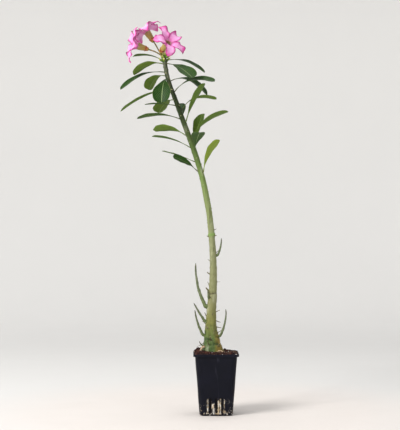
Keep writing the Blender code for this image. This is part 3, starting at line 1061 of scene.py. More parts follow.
def rounded_square(half, corner):
    """Points anticlockwise round a square with rounded corners."""
    points = []
    inner = half - corner
    for quarter in range(4):
        turn = Matrix.Rotation(math.pi / 2 * quarter, 2)
        arc = [
            Vector((inner, inner))
            + Vector((math.cos(angle), math.sin(angle))) * corner
            for angle in (math.pi / 2 * step / CORNER_STEPS for step in range(CORNER_STEPS + 1))
        ]
        side = [
            Vector((blend(inner, -inner, step / SIDE_STEPS), half)) for step in range(1, SIDE_STEPS)
        ]
        points += [turn @ point for point in arc + side]
    return points


def wall_half(height):
    """The wall's outer half width: the taper, with the foot rounded in."""
    half = blend(BASE_HALF, TOP_HALF, height / (POT_TALL - RIM_BAND))
    if height < FOOT_ROUND:
        inset = FOOT_ROUND - height
        half -= FOOT_ROUND - math.sqrt(max(FOOT_ROUND**2 - inset**2, 0))
    return half


def pot_profile():
    """(half width, height, corner radius) from the base's middle, up outside, and down inside."""
    ledge = POT_TALL - RIM_BAND
    rows = [(share * (BASE_HALF - FOOT_ROUND), 0) for share in (0.25, 0.5, 0.75, 0.95)]
    rows += [(wall_half(height * MM), height * MM) for height in (0, 0.3, 0.9, 1.8, 2.8, 4)]
    rows += [(wall_half(height), height) for height in np.linspace(8 * MM, ledge - 1.5 * MM, 26)]
    rows += [(TOP_HALF, ledge - 0.2 * MM), (TOP_HALF + 0.3 * MM, ledge)]
    rows += [(RIM_HALF - 0.5 * MM, ledge), (RIM_HALF, ledge + 0.5 * MM)]
    rows += [(RIM_HALF, POT_TALL - 0.4 * MM), (RIM_HALF - 0.4 * MM, POT_TALL)]
    rows += [(RIM_HALF - WALL + 0.3 * MM, POT_TALL), (RIM_HALF - WALL, POT_TALL - 0.3 * MM)]
    rows += [(RIM_HALF - WALL, ledge + WALL + 0.3 * MM), (RIM_HALF - WALL - 0.3 * MM, ledge + WALL)]
    rows += [(TOP_HALF - WALL + 0.3 * MM, ledge + WALL), (TOP_HALF - WALL, ledge + WALL - 0.3 * MM)]
    rows += [
        (wall_half(height) - WALL, height) for height in np.linspace(ledge - 4 * MM, 6 * MM, 20)
    ]
    rows += [(BASE_HALF - WALL - 2 * MM, WALL + 0.4 * MM), (BASE_HALF - 6 * MM, WALL)]
    rows += [(share * (BASE_HALF - FOOT_ROUND), WALL) for share in (0.75, 0.5, 0.25)]
    return rows


def dent(x, y, z):
    """How far the thin wall is pushed in or out at a place."""
    return noise.noise(Vector((x, y, z)) * 26) * 0.45 * MM * ease(z, 6 * MM, 40 * MM)


def pot_body():
    bm = bmesh.new()
    rings = []
    for half, height in pot_profile():
        ring = []
        for point in rounded_square(half, min(CORNER, half * 0.3 + 1 * MM)):
            push = dent(point.x, point.y, height)
            push *= 1 - ease(height, POT_TALL - 14 * MM, POT_TALL - 6 * MM)
            out = point.normalized() * push
            ring.append(bm.verts.new((point.x + out.x, point.y + out.y, height)))
        rings.append(ring)
    banded(bm, rings)
    capped(bm, rings[0], (0, 0, 0))
    capped(bm, rings[-1], (0, 0, WALL))
    bmesh.ops.recalc_face_normals(bm, faces=bm.faces)
    return loose("pot_body", smooth_mesh(bm, "pot_body"))


def drain_cutter():
    """Round-ended slots through each wall and holes through the base, as one mesh."""
    bm = bmesh.new()
    low, high = SLOT_SPAN
    outline = [
        (SLOT_HALF * math.cos(angle), high - SLOT_HALF + SLOT_HALF * math.sin(angle))
        for angle in (math.pi * step / 8 for step in range(9))
    ]
    outline += [(-x, low + high - z) for x, z in outline]
    for quarter in range(4):
        turn = Matrix.Rotation(math.pi / 2 * quarter, 4, "Z")
        for column in (-1, 0, 1):
            face = bm.faces.new(
                [
                    bm.verts.new(turn @ Vector((x + column * SLOT_PITCH, -BASE_HALF - 8 * MM, z)))
                    for x, z in outline
                ]
            )
            depth = turn @ Vector((0, 14 * MM, 0))
            grown = bmesh.ops.extrude_face_region(bm, geom=[face], use_keep_orig=True)["geom"]
            bmesh.ops.translate(
                bm, vec=depth, verts=[item for item in grown if isinstance(item, bmesh.types.BMVert)]
            )
        bmesh.ops.create_cone(
            bm,
            cap_ends=True,
            segments=24,
            radius1=DRAIN_RADIUS,
            radius2=DRAIN_RADIUS,
            depth=6 * MM,
            matrix=turn @ Matrix.Translation((DRAIN_PITCH, DRAIN_PITCH, 0)),
        )
    bmesh.ops.recalc_face_normals(bm, faces=bm.faces)
    return loose("drain_cutter", smooth_mesh(bm, "drain_cutter"))


def make_pot():
    body, cutter = pot_body(), drain_cutter()
    cut = body.modifiers.new("drains", "BOOLEAN")
    cut.operation, cut.solver, cut.object = "DIFFERENCE", "EXACT", cutter
    mesh = baked(body, "pot_shell")
    bpy.data.objects.remove(cutter, do_unlink=True)
    mesh.set_sharp_from_angle(angle=SMOOTH_ANGLE)
    finished("pot_shell", mesh, ["pot_plastic"], "pot", slot="pot")


# The soil

SOIL_VOXEL = 1.3 * MM
FIBRE_COUNT = 46
FIBRE_SIDES = 6
ROOT_STEPS = 18


def soil_rise(co):
    """Lumps on the top of the soil, in metres."""
    lump = noise.fractal(co * 95, 0.9, 2.1, 4)
    small = noise.noise(co * 420)
    return (lump * 1.7 + small * 0.7) * MM


def make_soil():
    bm = welded("soil")
    lump = loose("soil_lump", smooth_mesh(bm, "soil_lump"))
    remesh = lump.modifiers.new("voxels", "REMESH")
    remesh.mode, remesh.voxel_size = "VOXEL", SOIL_VOXEL
    mesh = baked(lump, "soil_heap")
    _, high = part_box("soil")
    shoulder = POT_TALL - 3 * MM
    for vert in mesh.vertices:
        co = vert.co.copy()
        if co.z > shoulder:
            share = ease(co.z, shoulder, shoulder + 2.5 * MM)
            vert.co.z = min(co.z + soil_rise(co) * share, high.z + 1.5 * MM)
    mesh.shade_smooth()
    finished("soil_heap", mesh, ["potting_soil"], "soil", slot="soil")
    return mesh


def soil_top(mesh, keep=lambda co: True):
    """The faces of the soil's top where keep(place) is true, as their own mesh."""
    bm = bmesh.new()
    bm.from_mesh(mesh)
    unwanted = [
        face
        for face in bm.faces
        if face.calc_center_median().z < POT_TALL - 2.5 * MM
        or face.normal.z < 0.2
        or stem_line.gap(face.calc_center_median()) < stem_line.at(POT_TALL)[1] * 0.9
        or not keep(face.calc_center_median())
    ]
    bmesh.ops.delete(bm, geom=unwanted, context="FACES")
    top = bpy.data.meshes.new("soil_top")
    bm.to_mesh(top)
    bm.free()
    return top


# Grains on the soil: piece, finish, how many to a square metre, the smallest and largest radius,
# how flat they are, their seed and their shape.
GRAINS = (
    ("soil_crumbs", "soil_crumb", 90000.0, 0.0006, 0.0019, 0.7, 11, "crumb"),
    ("bark_chips", "soil_crumb", 9000.0, 0.0014, 0.0030, 0.8, 23, "chip"),
    ("perlite_grains", "perlite", 1700.0, 0.0007, 0.0018, 0.9, 5, "crumb"),
    ("soil_clods", "soil_crumb", 11000.0, 0.0020, 0.0040, 0.75, 41, "crumb"),
)


def in_heap(co):
    """True where the clods lie: at the left, and in a strip at the front right."""
    return (co.x < -30 * MM) or (co.x > 20 * MM and co.x < 32 * MM and co.y < 0)


def make_grains(mesh):
    for name, finish_name, *sizes in GRAINS:
        top = soil_top(mesh, in_heap) if name == "soil_clods" else soil_top(mesh)
        recipe = scatter_recipe(name, finish_name, *sizes)
        finished(name, recipe.grown(name, top), [finish_name], slot="soil")


def strand(points, radius):
    """A thin round strand through points, as a bmesh."""
    fine = resampled(points, len(points) * 3)
    radii = [radius * (1 - 0.5 * index / len(fine)) for index in range(len(fine))]
    return skin(fine, radii, FIBRE_SIDES)[0]


def joined(parts, name):
    """One mesh of several bmeshes, which are freed."""
    whole = bmesh.new()
    for part in parts:
        piece = bpy.data.meshes.new("part")
        part.to_mesh(piece)
        part.free()
        whole.from_mesh(piece)
        bpy.data.meshes.remove(piece)
    return smooth_mesh(whole, name)


def make_fibres():
    """Dry roots and fibres that lie on the soil."""
    rng = random.Random(8)
    parts = []
    for _ in range(FIBRE_COUNT):
        heading = rng.uniform(0, 2 * math.pi)
        x, y = rng.uniform(-36, 36) * MM, rng.uniform(-36, 36) * MM
        z = POT_TALL + rng.uniform(1.0, 3.2) * MM
        line = []
        for _ in range(5):
            line.append(Vector((x, y, z)))
            heading += rng.uniform(-0.7, 0.7)
            step = rng.uniform(1.6, 3.4) * MM
            x += math.cos(heading) * step
            y += math.sin(heading) * step
            z += rng.uniform(-0.8, 0.8) * MM
            x, y = (min(max(value, -42 * MM), 42 * MM) for value in (x, y))
        parts.append(strand(line, rng.uniform(0.16, 0.34) * MM))
    finished("soil_fibres", joined(parts, "soil_fibres"), ["dry_fibre"], slot="soil")


def make_surface_roots():
    """Three dry roots that leave the foot of the stem and go down into the soil."""
    routes = (
        ((3, -15, 3), (8, -20, 5), (14, -24, 3.4), (18, -27, 0.5)),
        ((-22, -10, 12), (-27, -11, 10), (-30, -13, 4), (-32, -15, 0)),
        ((-18, 12, 6), (-25, 17, 4), (-31, 20, 1)),
    )
    parts = []
    for route, radius in zip(routes, (1.7, 2.6, 1.8)):
        line = [Vector((x * MM, y * MM, POT_TALL + z * MM)) for x, y, z in route]
        fine = resampled(line, ROOT_STEPS)
        radii = [
            radius * MM * (1 - 0.55 * index / ROOT_STEPS) * (1 + 0.25 * noise.noise(point * 300))
            for index, point in enumerate(fine)
        ]
        parts.append(skin(fine, radii, 12)[0])
    finished("surface_roots", joined(parts, "surface_roots"), ["dry_fibre"], slot="stem")


# The stem

STEM_RINGS = 460
STEM_SIDES = 40
CREASE_HEIGHT = 232 * MM
BURL_HEIGHT = 348 * MM
NODE_PITCH = 13.5 * MM


def bell(value, centre, width):
    return math.exp(-(((value - centre) / width) ** 2))


def stem_shape(height, angle, radius):
    """The stem's surface at a height and angle: (distance out, scar, burl)."""
    foot = 1 - ease(height, 150 * MM, 205 * MM)
    around = Vector((math.cos(angle), math.sin(angle), 0))
    ridge = math.cos(4 * angle + 1.1 + 16 * height) * 0.045 + math.cos(7 * angle - 24 * height) * 0.03
    rough = noise.noise(around * 1.6 + Vector((0, 0, height * 34)))
    fine = noise.noise(around * 3.4 + Vector((0, 0, height * 150)))
    out = radius * (1 + foot * (ridge * 1.5 + fine * 0.05) + rough * 0.06 + fine * 0.03)
    flare = 1 - ease(height, 112 * MM, 134 * MM)
    out += flare * 3.2 * MM * (0.5 + 0.5 * math.cos(angle + 0.25)) ** 2
    out += flare * 3.6 * MM * (0.5 + 0.5 * math.cos(angle - math.pi * 1.12)) ** 3
    crease = bell(height + 1.5 * MM * math.cos(angle - 2.6), CREASE_HEIGHT, 1.1 * MM)
    crease *= 0.5 + 0.5 * math.cos(angle - math.pi * 1.35)
    neck = bell(height, CREASE_HEIGHT - 5 * MM, 6 * MM)
    out += 0.45 * MM * neck - 1.1 * MM * crease
    burl = bell(height, BURL_HEIGHT, 3.6 * MM)
    out += burl * (0.9 + 1.3 * noise.noise(around * 4.2 + Vector((0, 0, height * 260)))) * MM
    phase = height / NODE_PITCH
    node = (0.5 + 0.5 * math.cos(2 * math.pi * phase)) ** 4
    swell = ease(height, 250 * MM, 300 * MM)
    out += node * swell * 0.35 * MM * (0.5 + 0.5 * math.cos(angle - KNOT_TURN * math.floor(phase + 0.5)))
    wound = bell(height, 325 * MM, 2.2 * MM) * bell(math.cos(angle - math.pi * 0.98), 1, 0.20)
    out -= 0.6 * MM * wound
    return out, min(1, crease * 1.2 + wound), burl


def make_stem():
    inset = 0.2 * MM
    heights = [
        blend(stem_line.low + inset, stem_line.high - inset, step / STEM_RINGS)
        for step in range(STEM_RINGS + 1)
    ]
    rows = [stem_line.at(height) for height in heights]
    frames = frames_along([centre for centre, _ in rows])
    bm = bmesh.new()
    rings, places, scars, burls = [], [], [], []
    for index, (height, (centre, radius)) in enumerate(zip(heights, rows)):
        _, across, up = frames[index]
        ring = []
        for side in range(STEM_SIDES):
            angle = 2 * math.pi * side / STEM_SIDES
            way = across * math.cos(angle) + up * math.sin(angle)
            heading = math.atan2(way.y, way.x)
            out, scar, burl = stem_shape(height, heading, radius)
            ring.append(bm.verts.new(centre + way * out))
            places.append((side / STEM_SIDES, index / STEM_RINGS))
            scars.append(scar)
            burls.append(burl)
        rings.append(ring)
    banded(bm, rings)
    for ring, centre, lift in ((rings[0], rows[0][0], 0), (rings[-1], rows[-1][0], 1.6 * MM)):
        capped(bm, ring, centre + Vector((0, 0, lift)))
        places.append((0.5, 0))
        scars.append(0)
        burls.append(0)
    bmesh.ops.recalc_face_normals(bm, faces=bm.faces)
    mesh = smooth_mesh(bm, "main_stem")
    set_uv(mesh, places)
    set_number(mesh, "scar", scars)
    set_number(mesh, "burl", burls)
    finished("main_stem", mesh, ["stem_bark"], "stem", slot="stem")


def make_scars():
    """Leaf scars in a spiral up the stem."""
    recipe = Recipe("leaf_scar_spiral", Spacing=0.0068, Turn=SCAR_TURN, Wide=0.0019, Seed=3)
    line = bpy.data.meshes.new("stem_centre_line")
    heights = np.arange(256 * MM, 684 * MM, 3 * MM)
    rows = [stem_line.at(height) for height in heights]
    line.from_pydata([centre for centre, _ in rows], [(i, i + 1) for i in range(len(rows) - 1)], [])
    set_number(line, "girth", [radius for _, radius in rows])
    curve = recipe.add("GeometryNodeMeshToCurve", Mesh=recipe.given("Base")).outputs[0]
    curve = recipe.add(
        "GeometryNodeResampleCurve", {"mode": "LENGTH"}, Curve=curve, Length=recipe.given("Spacing")
    ).outputs[0]
    girth = recipe.add("GeometryNodeInputNamedAttribute", Name="girth").outputs[0]
    tangent = recipe.add("GeometryNodeInputTangent").outputs[0]
    order = recipe.add("GeometryNodeInputIndex").outputs[0]
    angle = recipe.times(order, recipe.given("Turn"))
    out = recipe.add(
        "ShaderNodeVectorRotate",
        {"rotation_type": "AXIS_ANGLE"},
        Vector=(1.0, 0.0, 0.0),
        Axis=tangent,
        Angle=angle,
    ).outputs[0]
    along = recipe.vector("DOT_PRODUCT", out, tangent).node.outputs["Value"]
    out = recipe.vector("SUBTRACT", out, recipe.lengthened(tangent, along))
    out = recipe.vector("NORMALIZE", out)
    reach = recipe.lengthened(out, girth)
    moved = recipe.add("GeometryNodeSetPosition", Geometry=curve, Offset=reach).outputs[0]
    points = recipe.add("GeometryNodeCurveToPoints", {"mode": "EVALUATED"}, Curve=moved).outputs[0]
    held = recipe.add("GeometryNodeCaptureAttribute")
    held.domain = "POINT"
    held.capture_items.new("VECTOR", "aim")
    recipe.feed(held.inputs[0], curve)
    recipe.feed(held.inputs[1], out)
    recipe.tree.links.new(held.outputs[0], moved.node.inputs["Geometry"])
    turn = recipe.add("FunctionNodeAlignRotationToVector", {"axis": "Z"}, Vector=held.outputs[1])
    pad = recipe.add("GeometryNodeMeshUVSphere", Segments=10, Rings=6, Radius=1.0).outputs[0]
    pad = recipe.add("GeometryNodeTransform", Geometry=pad, Scale=(1.0, 0.62, 0.34)).outputs[0]
    size = recipe.times(recipe.given("Wide"), recipe.random(0.75, 1.15, 1))
    placed = recipe.add(
        "GeometryNodeInstanceOnPoints",
        Points=points,
        Instance=pad,
        Rotation=turn.outputs[0],
        Scale=size,
    ).outputs[0]
    recipe.close(placed, "leaf_scar", 900.0, 0.0004)
    mesh = recipe.grown("leaf_scars", line)
    mesh.shade_smooth()
    finished("leaf_scars", mesh, ["leaf_scar"], slot="stem")


class Snag:
    """A short dead stub or spike on the stem: where it is, its size, and how it rises."""

    def __init__(self, height, heading, length, radius, rise, tip=0.3):
        self.height, self.heading, self.rise = height * MM, math.radians(heading), math.radians(rise)
        self.length, self.radius, self.tip = length * MM, radius * MM, tip

    def skin(self):
        centre, girth = stem_line.at(self.height)
        level = Vector((math.cos(self.heading), math.sin(self.heading), 0))
        way = level * math.cos(self.rise) + Vector((0, 0, math.sin(self.rise)))
        start = centre + level * (girth * 0.8)
        points, radii = [], []
        for step in range(9):
            share = step / 8
            wobble = noise.noise_vector(start * 400 + Vector((share * 3, 0, 0))) * self.length * 0.07
            points.append(start + way * (self.length * share) + wobble * share)
            radii.append(self.radius * blend(1.5 if step == 0 else 1, self.tip, share**0.8))
        return skin(points, radii, 9)[0]


SNAGS = (
    Snag(357, -10, 6.5, 1.1, 30),
    Snag(344, 200, 5.5, 1.5, 20, 0.5),
    Snag(346, -30, 6, 1.4, 10, 0.5),
    Snag(255, 5, 8.5, 0.6, 8),
    Snag(270, 175, 7.5, 1.5, 35, 0.6),
    Snag(247, 172, 10, 1.2, 66),
    Snag(236, 200, 11, 2.2, 50, 0.55),
    Snag(196, -4, 10, 1.0, 28, 0.5),
    Snag(180, 8, 10.5, 1.1, -20, 0.5),
    Snag(138, 195, 19, 0.9, -28),
    Snag(143, 262, 15.5, 1.6, 30, 0.6),
    Snag(163, 236, 11.5, 1.6, 40, 0.6),
    Snag(296, 168, 6.5, 0.9, 30, 0.5),
    Snag(312, 8, 6.5, 0.9, 40, 0.5),
    Snag(128, 300, 17, 1.5, 35, 0.6),
    Snag(150, 100, 13.5, 1.6, 30, 0.5),
    Snag(210, 90, 9, 1.3, 40, 0.5),
    Snag(172, 172, 12, 1.0, 40),
    Snag(186, 186, 11, 1.1, 62, 0.5),
    Snag(156, -12, 13, 1.0, 30),
    Snag(168, 350, 11, 1.0, -10, 0.5),
    Snag(132, 248, 17, 1.2, 44, 0.5),
    Snag(152, 286, 13, 1.2, 50, 0.5),
    Snag(190, 280, 10, 1.1, 36, 0.5),
    Snag(224, 250, 9, 1.0, 20, 0.5),
)


def make_snags():
    mesh = joined([snag.skin() for snag in SNAGS], "stem_snags")
    finished("stem_snags", mesh, ["dead_wood"], slot="stem")


# The side shoots

SHOOT_RINGS = 60
SHOOT_SIDES = 16


def shoot_shape(seed, length):
    def shape(share, angle, radius):
        place = Vector((math.cos(angle), math.sin(angle), seed * 7.3 + share * length * 130))
        out = radius * (1 + 0.35 * (1 - ease(share, 0, 0.14)))
        out *= 1 - 0.4 * ease(share, 0.93, 1.0)
        node = (0.5 + 0.5 * math.cos(share * length / (8 * MM) * 2 * math.pi)) ** 6
        return out * (1 + 0.20 * noise.noise(place) + 0.13 * node)

    return shape


def make_shoot(number):
    node = f"side_shoot_{number}"
    centres, radii = rooted_tube(node)
    length = sum((b - a).length for a, b in zip(centres, centres[1:]))
    for index in range(2, len(centres)):
        wobble = noise.noise_vector(centres[index] * 60 + Vector((number, 0, 0)))
        centres[index] += wobble * 0.6 * MM * min(1, index / 3)
    made = skin(
        resampled(centres, SHOOT_RINGS),
        resampled(radii, SHOOT_RINGS),
        SHOOT_SIDES,
        shoot_shape(number, length),
    )
    finished_skin(f"shoot_{number}", made, "shoot_bark", node, "shoot")


# The leaves

LEAF_ROWS = 46
LEAF_HALF_COLUMNS = 8

# For each leaf: how light it is, how clear its midrib is, and how blunt its tip is.
LEAF_LOOKS = {
    1: (0.30, 0.2, 0.4), 2: (0.60, 0.3, 1.0), 3: (0.16, 0.3, 0.9), 4: (0.58, 0.5, 1.0),
    5: (0.46, 0.2, 0.6), 6: (0.10, 0.8, 0.9), 7: (0.60, 0.5, 1.0), 8: (0.08, 0.3, 0.9),
    9: (0.14, 0.3, 0.6), 10: (0.56, 0.3, 0.1), 11: (0.26, 0.2, 0.4), 12: (0.30, 0.2, 0.4),
    13: (0.20, 0.4, 0.9), 14: (0.10, 0.4, 0.9), 15: (0.22, 0.5, 0.8), 16: (0.06, 0.3, 0.3),
    17: (0.14, 0.4, 0.9), 18: (0.50, 0.3, 0.7), 19: (0.08, 0.3, 0.9), 20: (0.52, 0.3, 0.9),
    21: (0.62, 0.4, 0.8), 22: (0.06, 1.0, 0.9), 23: (0.48, 0.4, 0.8), 24: (0.92, 0.4, 0.8),
}

# How narrow the blade is near its stalk, as a share of the full width that other leaves keep.
LEAF_WAIST = {6: 0.30, 22: 0.75, 24: 0.8}


def leaf_thickness(share, across, half):
    """How thick a leaf is at a share of its length and from -1 to 1 across: (above, below)."""
    blade = ease(share, 0.10, 0.26)
    body = (1 - across * across) ** 0.5
    thin = 0.26 * MM * blend(1, 0.55, share)
    round_stalk = min(half * 0.62, 0.95 * MM)
    keel = 0.55 * MM * math.exp(-((across * half / (0.9 * MM)) ** 2)) * (1 - share) ** 0.6
    groove = 0.16 * MM * math.exp(-((across * half / (0.5 * MM)) ** 2))
    above = blend(round_stalk * body, thin * body - groove * body, blade)
    below = blend(round_stalk * body, thin * body + keel, blade)
    return above, below


def leaf_mesh(number):
    stations = leaf_stations(f"leaf_{number:02d}")
    start = stations[0]
    mids = resampled(rooted([station.mid for station in stations]), LEAF_ROWS)
    sides = resampled([start.side] + [station.side for station in stations], LEAF_ROWS)
    halves = resampled([start.half * 1.3] + [station.half for station in stations], LEAF_ROWS)
    tip_start = 1 - 1 / len(stations)
    tone, rib, blunt = LEAF_LOOKS[number]
    lifts = resampled(
        [0.0] + [station.lift.length / max(station.half, 1 * MM) for station in stations], LEAF_ROWS
    )
    bm = bmesh.new()
    columns = 2 * LEAF_HALF_COLUMNS
    tops, unders, places, kinds = [], [], [], []
    wave = Vector((number * 3.1, number * 1.7, 0))
    for row in range(LEAF_ROWS + 1):
        share = row / LEAF_ROWS
        ahead = mids[min(row + 1, LEAF_ROWS)] - mids[max(row - 1, 0)]
        along = ahead.normalized()
        side = (sides[row] - along * sides[row].dot(along)).normalized()
        up = along.cross(side)
        half = halves[row] * blend(LEAF_WAIST.get(number, 1), 1, ease(share, 0.25, 0.78))
        if share > tip_start:
            close = (share - tip_start) / (1 - tip_start)
            round_end = math.sqrt(max(1 - close * close, 0))
            half = stations[-2].half * blend(1 - close, round_end, blunt)
        half = max(half, 0.3 * MM)
        top_row, under_row = [], []
        for column in range(columns + 1):
            across = math.sin(math.pi / 2 * (column / LEAF_HALF_COLUMNS - 1))
            ripple = noise.noise(wave + Vector((share * 5, across * 0.8, 0))) * 0.10 * half
            ripple += math.sin(share * 21 + number + (2 if across > 0 else 0)) * 0.025 * half
            edge = abs(across) ** 1.5 * ease(share, 0.15, 0.35)
            lift = lifts[row] * half * across * across + ripple * edge
            base = mids[row] + side * (across * half) + up * lift
            above, below = leaf_thickness(share, across, half)
            top = bm.verts.new(base + up * above)
            places.append((0.5 + across / 2, share))
            kinds.append(0.0 if 0 < column < columns else 0.3)
            top_row.append(top)
            if 0 < column < columns:
                under = bm.verts.new(base - up * below)
                places.append((0.5 + across / 2, share))
                kinds.append(1.0)
                under_row.append(under)
            else:
                under_row.append(top)
        tops.append(top_row)
        unders.append(under_row)
    for row in range(LEAF_ROWS):
        top, next_top, under, next_under = tops[row], tops[row + 1], unders[row], unders[row + 1]
        for here in range(columns):
            after = here + 1
            bm.faces.new((top[here], next_top[here], next_top[after], top[after]))
            bm.faces.new((under[here], under[after], next_under[after], next_under[here]))
    for top, under in ((tops[0], unders[0]), (tops[-1], unders[-1])):
        for here in range(columns):
            corners = dict.fromkeys((top[here], top[here + 1], under[here + 1], under[here]))
            if len(corners) > 2:
                bm.faces.new(list(corners))
    bmesh.ops.recalc_face_normals(bm, faces=bm.faces)
    mesh = smooth_mesh(bm, f"leaf_blade_{number:02d}")
    set_uv(mesh, places)
    set_number(mesh, "under", kinds)
    set_number(mesh, "tone", [tone] * len(mesh.vertices))
    set_number(mesh, "rib", [rib] * len(mesh.vertices))
    return mesh


def make_leaf(number):
    node = f"leaf_{number:02d}"
    finished(f"leaf_blade_{number:02d}", leaf_mesh(number), ["leaf_blade"], node, slot="leaf")


# The tip: buds and bracts

BRACT_ROWS = 14
BRACT_SIDES = 12
BRACT_COUNT = 30
# How thick a bud or a bract is beside its width.
BUD_FLAT = 0.7
BRACT_FLAT = 0.45


def bract_mesh(points, radii, flat):
    """A small folded leaf along a line: wide low down and pointed."""

    def shape(share, angle, radius):
        spoon = 0.55 + 1.0 * math.sin(math.pi * min(1, share * 0.9 + 0.08)) ** 0.8
        point = 1 - 0.9 * ease(share, 0.6, 1.0)
        return radius * spoon * point * (flat + (1 - flat) * abs(math.cos(angle)))

    return skin(resampled(points, BRACT_ROWS), resampled(radii, BRACT_ROWS), BRACT_SIDES, shape)


def make_bud(number):
    node = f"bud_{number}"
    made = bract_mesh(*rooted_tube(node), BUD_FLAT)
    finished_skin(f"tip_bud_{number}", made, "bract_green", node, "bud")


def make_bracts():
    """Thin pointed bracts round the tip, between the flower stalks."""
    rng = random.Random(21)
    parts, places = [], []
    for index in range(BRACT_COUNT):
        height = rng.uniform(688, 705) * MM
        heading = index * KNOT_TURN + rng.uniform(-0.3, 0.3)
        rise = math.radians(rng.uniform(8, 66))
        centre, girth = stem_line.at(height)
        level = Vector((math.cos(heading), math.sin(heading), 0))
        start = centre + level * (girth * 0.7)
        length = rng.uniform(9, 16) * MM
        line = []
        for step in range(6):
            share = step / 5
            lift = rise + share * rng.uniform(0.1, 0.5)
            way = level * math.cos(lift) + Vector((0, 0, math.sin(lift)))
            line.append(start + way * length * share)
        bm, uv = bract_mesh(line, [1.0 * MM] * 6, BRACT_FLAT)
        parts.append(bm)
        places += uv
    mesh = joined(parts, "tip_bracts")
    set_uv(mesh, places)
    finished("tip_bracts", mesh, ["bract_green"], slot="bud")


# The flowers

TUBE_ROWS = 18
LOBE_ROWS = 34
LOBE_HALF_COLUMNS = 11
STALK_RINGS = 30
STALK_SIDES = 14
# How much fuller a lobe is than its frame node, and where along it the width stops narrowing.
LOBE_FULL = 1.22
LOBE_WIDEST = 0.72
PETAL_THICK = 0.42 * MM
SEPAL_THICK = 0.45 * MM
# The tube's share of a petal's way from the flower's foot to the tip of its lobe.
TUBE_SHARE = 0.46


class FlowerShape:
    """A flower's own axes, its tube's radius by height and each lobe's line, from its nodes."""

    MOUTH = 7.2 * MM

    def __init__(self, number):
        self.number = number
        centres, self.anther_radii = tube_line(f"flower_{number}_anthers")
        axis = (centres[-1] - centres[0]).normalized()
        start = centres[0] - axis * 0.4 * MM
        across = axis.orthogonal().normalized()
        turn = Matrix((across, axis.cross(across), axis)).transposed().to_4x4()
        self.frame = Matrix.Translation(start) @ turn
        bm = welded(f"flower_{number}_corolla")
        bm.transform(self.frame.inverted())
        self.length = self.tube_length(bm)
        spin = Matrix.Rotation(self.lobe_phase(bm), 4, "Z")
        bm.transform(spin.inverted())
        self.frame = self.frame @ spin
        self.tube = [
            slice_at(bm, self.length * blend(0.02, 0.97, step / 8), self.MOUTH)[1] for step in range(9)
        ]
        self.lobes = [self.lobe_line(bm, lobe) for lobe in range(LOBE_COUNT)]
        bm.free()
        self.anthers = [self.frame.inverted() @ centre for centre in centres]

    @staticmethod
    def tube_length(bm):
        """The tube ends where the corolla first reaches well out from its axis."""
        inside = [v.co.z for v in bm.verts if math.hypot(v.co.x, v.co.y) < FlowerShape.MOUTH]
        return max(inside)

    @staticmethod
    def lobe_phase(bm):
        total = 0j
        for vert in bm.verts:
            out = math.hypot(vert.co.x, vert.co.y) / (30 * MM)
            total += out**8 * np.exp(1j * LOBE_COUNT * math.atan2(vert.co.y, vert.co.x))
        return float(np.angle(total)) / LOBE_COUNT

    def lobe_line(self, bm, lobe):
        """Rows of (out, along, half width) from the mouth to the lobe's tip."""
        turn = Matrix.Rotation(-2 * math.pi * lobe / LOBE_COUNT, 3, "Z")
        sector = math.tan(math.pi / LOBE_COUNT)
        near = []
        for vert in bm.verts:
            co = turn @ vert.co
            if co.x > 5.4 * MM and abs(co.y) < max(co.x * sector * 1.05, 1 * MM):
                near.append(co)
        spine = sorted((co for co in near if abs(co.y) < 0.35 * MM), key=lambda co: co.x)
        rows = []
        while spine:
            first = spine.pop(0)
            if rows and first.x - rows[-1][-1].x < 1.1 * MM:
                rows[-1].append(first)
            else:
                rows.append([first])
        found = []
        for row in rows:
            middle = mean(row)
            widths = [abs(co.y) for co in near if abs(co.x - middle.x) < 1.0 * MM]
            found.append(Vector((middle.x, middle.z, max(widths, default=1 * MM))))
        return found


def flower_radius(flower, share):
    return smooth_between(flower.tube, share * (len(flower.tube) - 1))


def lobe_point(flower, lobe, share, across):
    """A point of a lobe's blade: share runs from the mouth to its tip."""
    line = flower.lobes[lobe]
    row = smooth_between(line, share * (len(line) - 1))
    ahead = smooth_between(line, min(share + 0.02, 1) * (len(line) - 1))
    behind = smooth_between(line, max(share - 0.02, 0) * (len(line) - 1))
    along = Vector((ahead.x - behind.x, 0, ahead.y - behind.y)).normalized()
    inward = Vector((-along.z, 0, along.x))
    half = max(smooth_between(line, min(share, LOBE_WIDEST) * (len(line) - 1)).z, 0.4 * MM)
    key = flower.number * 5.1 + lobe * 1.7
    edge = abs(across) ** 2.2
    half *= LOBE_FULL * blend(0.66, 1, ease(share, 0.0, 0.35))
    half *= max(1 - max((share - 0.60) / 0.40, 0) ** 2.6, 0.14)
    ruffle = math.sin(share * 11.5 + key + (1.7 if across > 0 else 0)) * 1.7
    ruffle += noise.noise(Vector((key, share * 5, across * 1.4))) * 3.0
    curl = (2.6 if math.sin(key * 3.3) > -0.3 else -2.0) * edge * ease(share, 0.25, 0.75)
    lift = edge * ease(share, 0.08, 0.4) * (ruffle + curl) * (1 - 0.7 * ease(share, 0.8, 1)) * MM
    lift += across * across * half * 0.16
    sway = math.sin(share * 3.1 + key * 2) * 0.9 * MM * ease(share, 0.2, 1)
    tip = -2.2 * MM * ease(share, 0.82, 1.0)
    place = Vector((row.x, across * half + sway, row.y))
    return place + inward * (lift + tip)


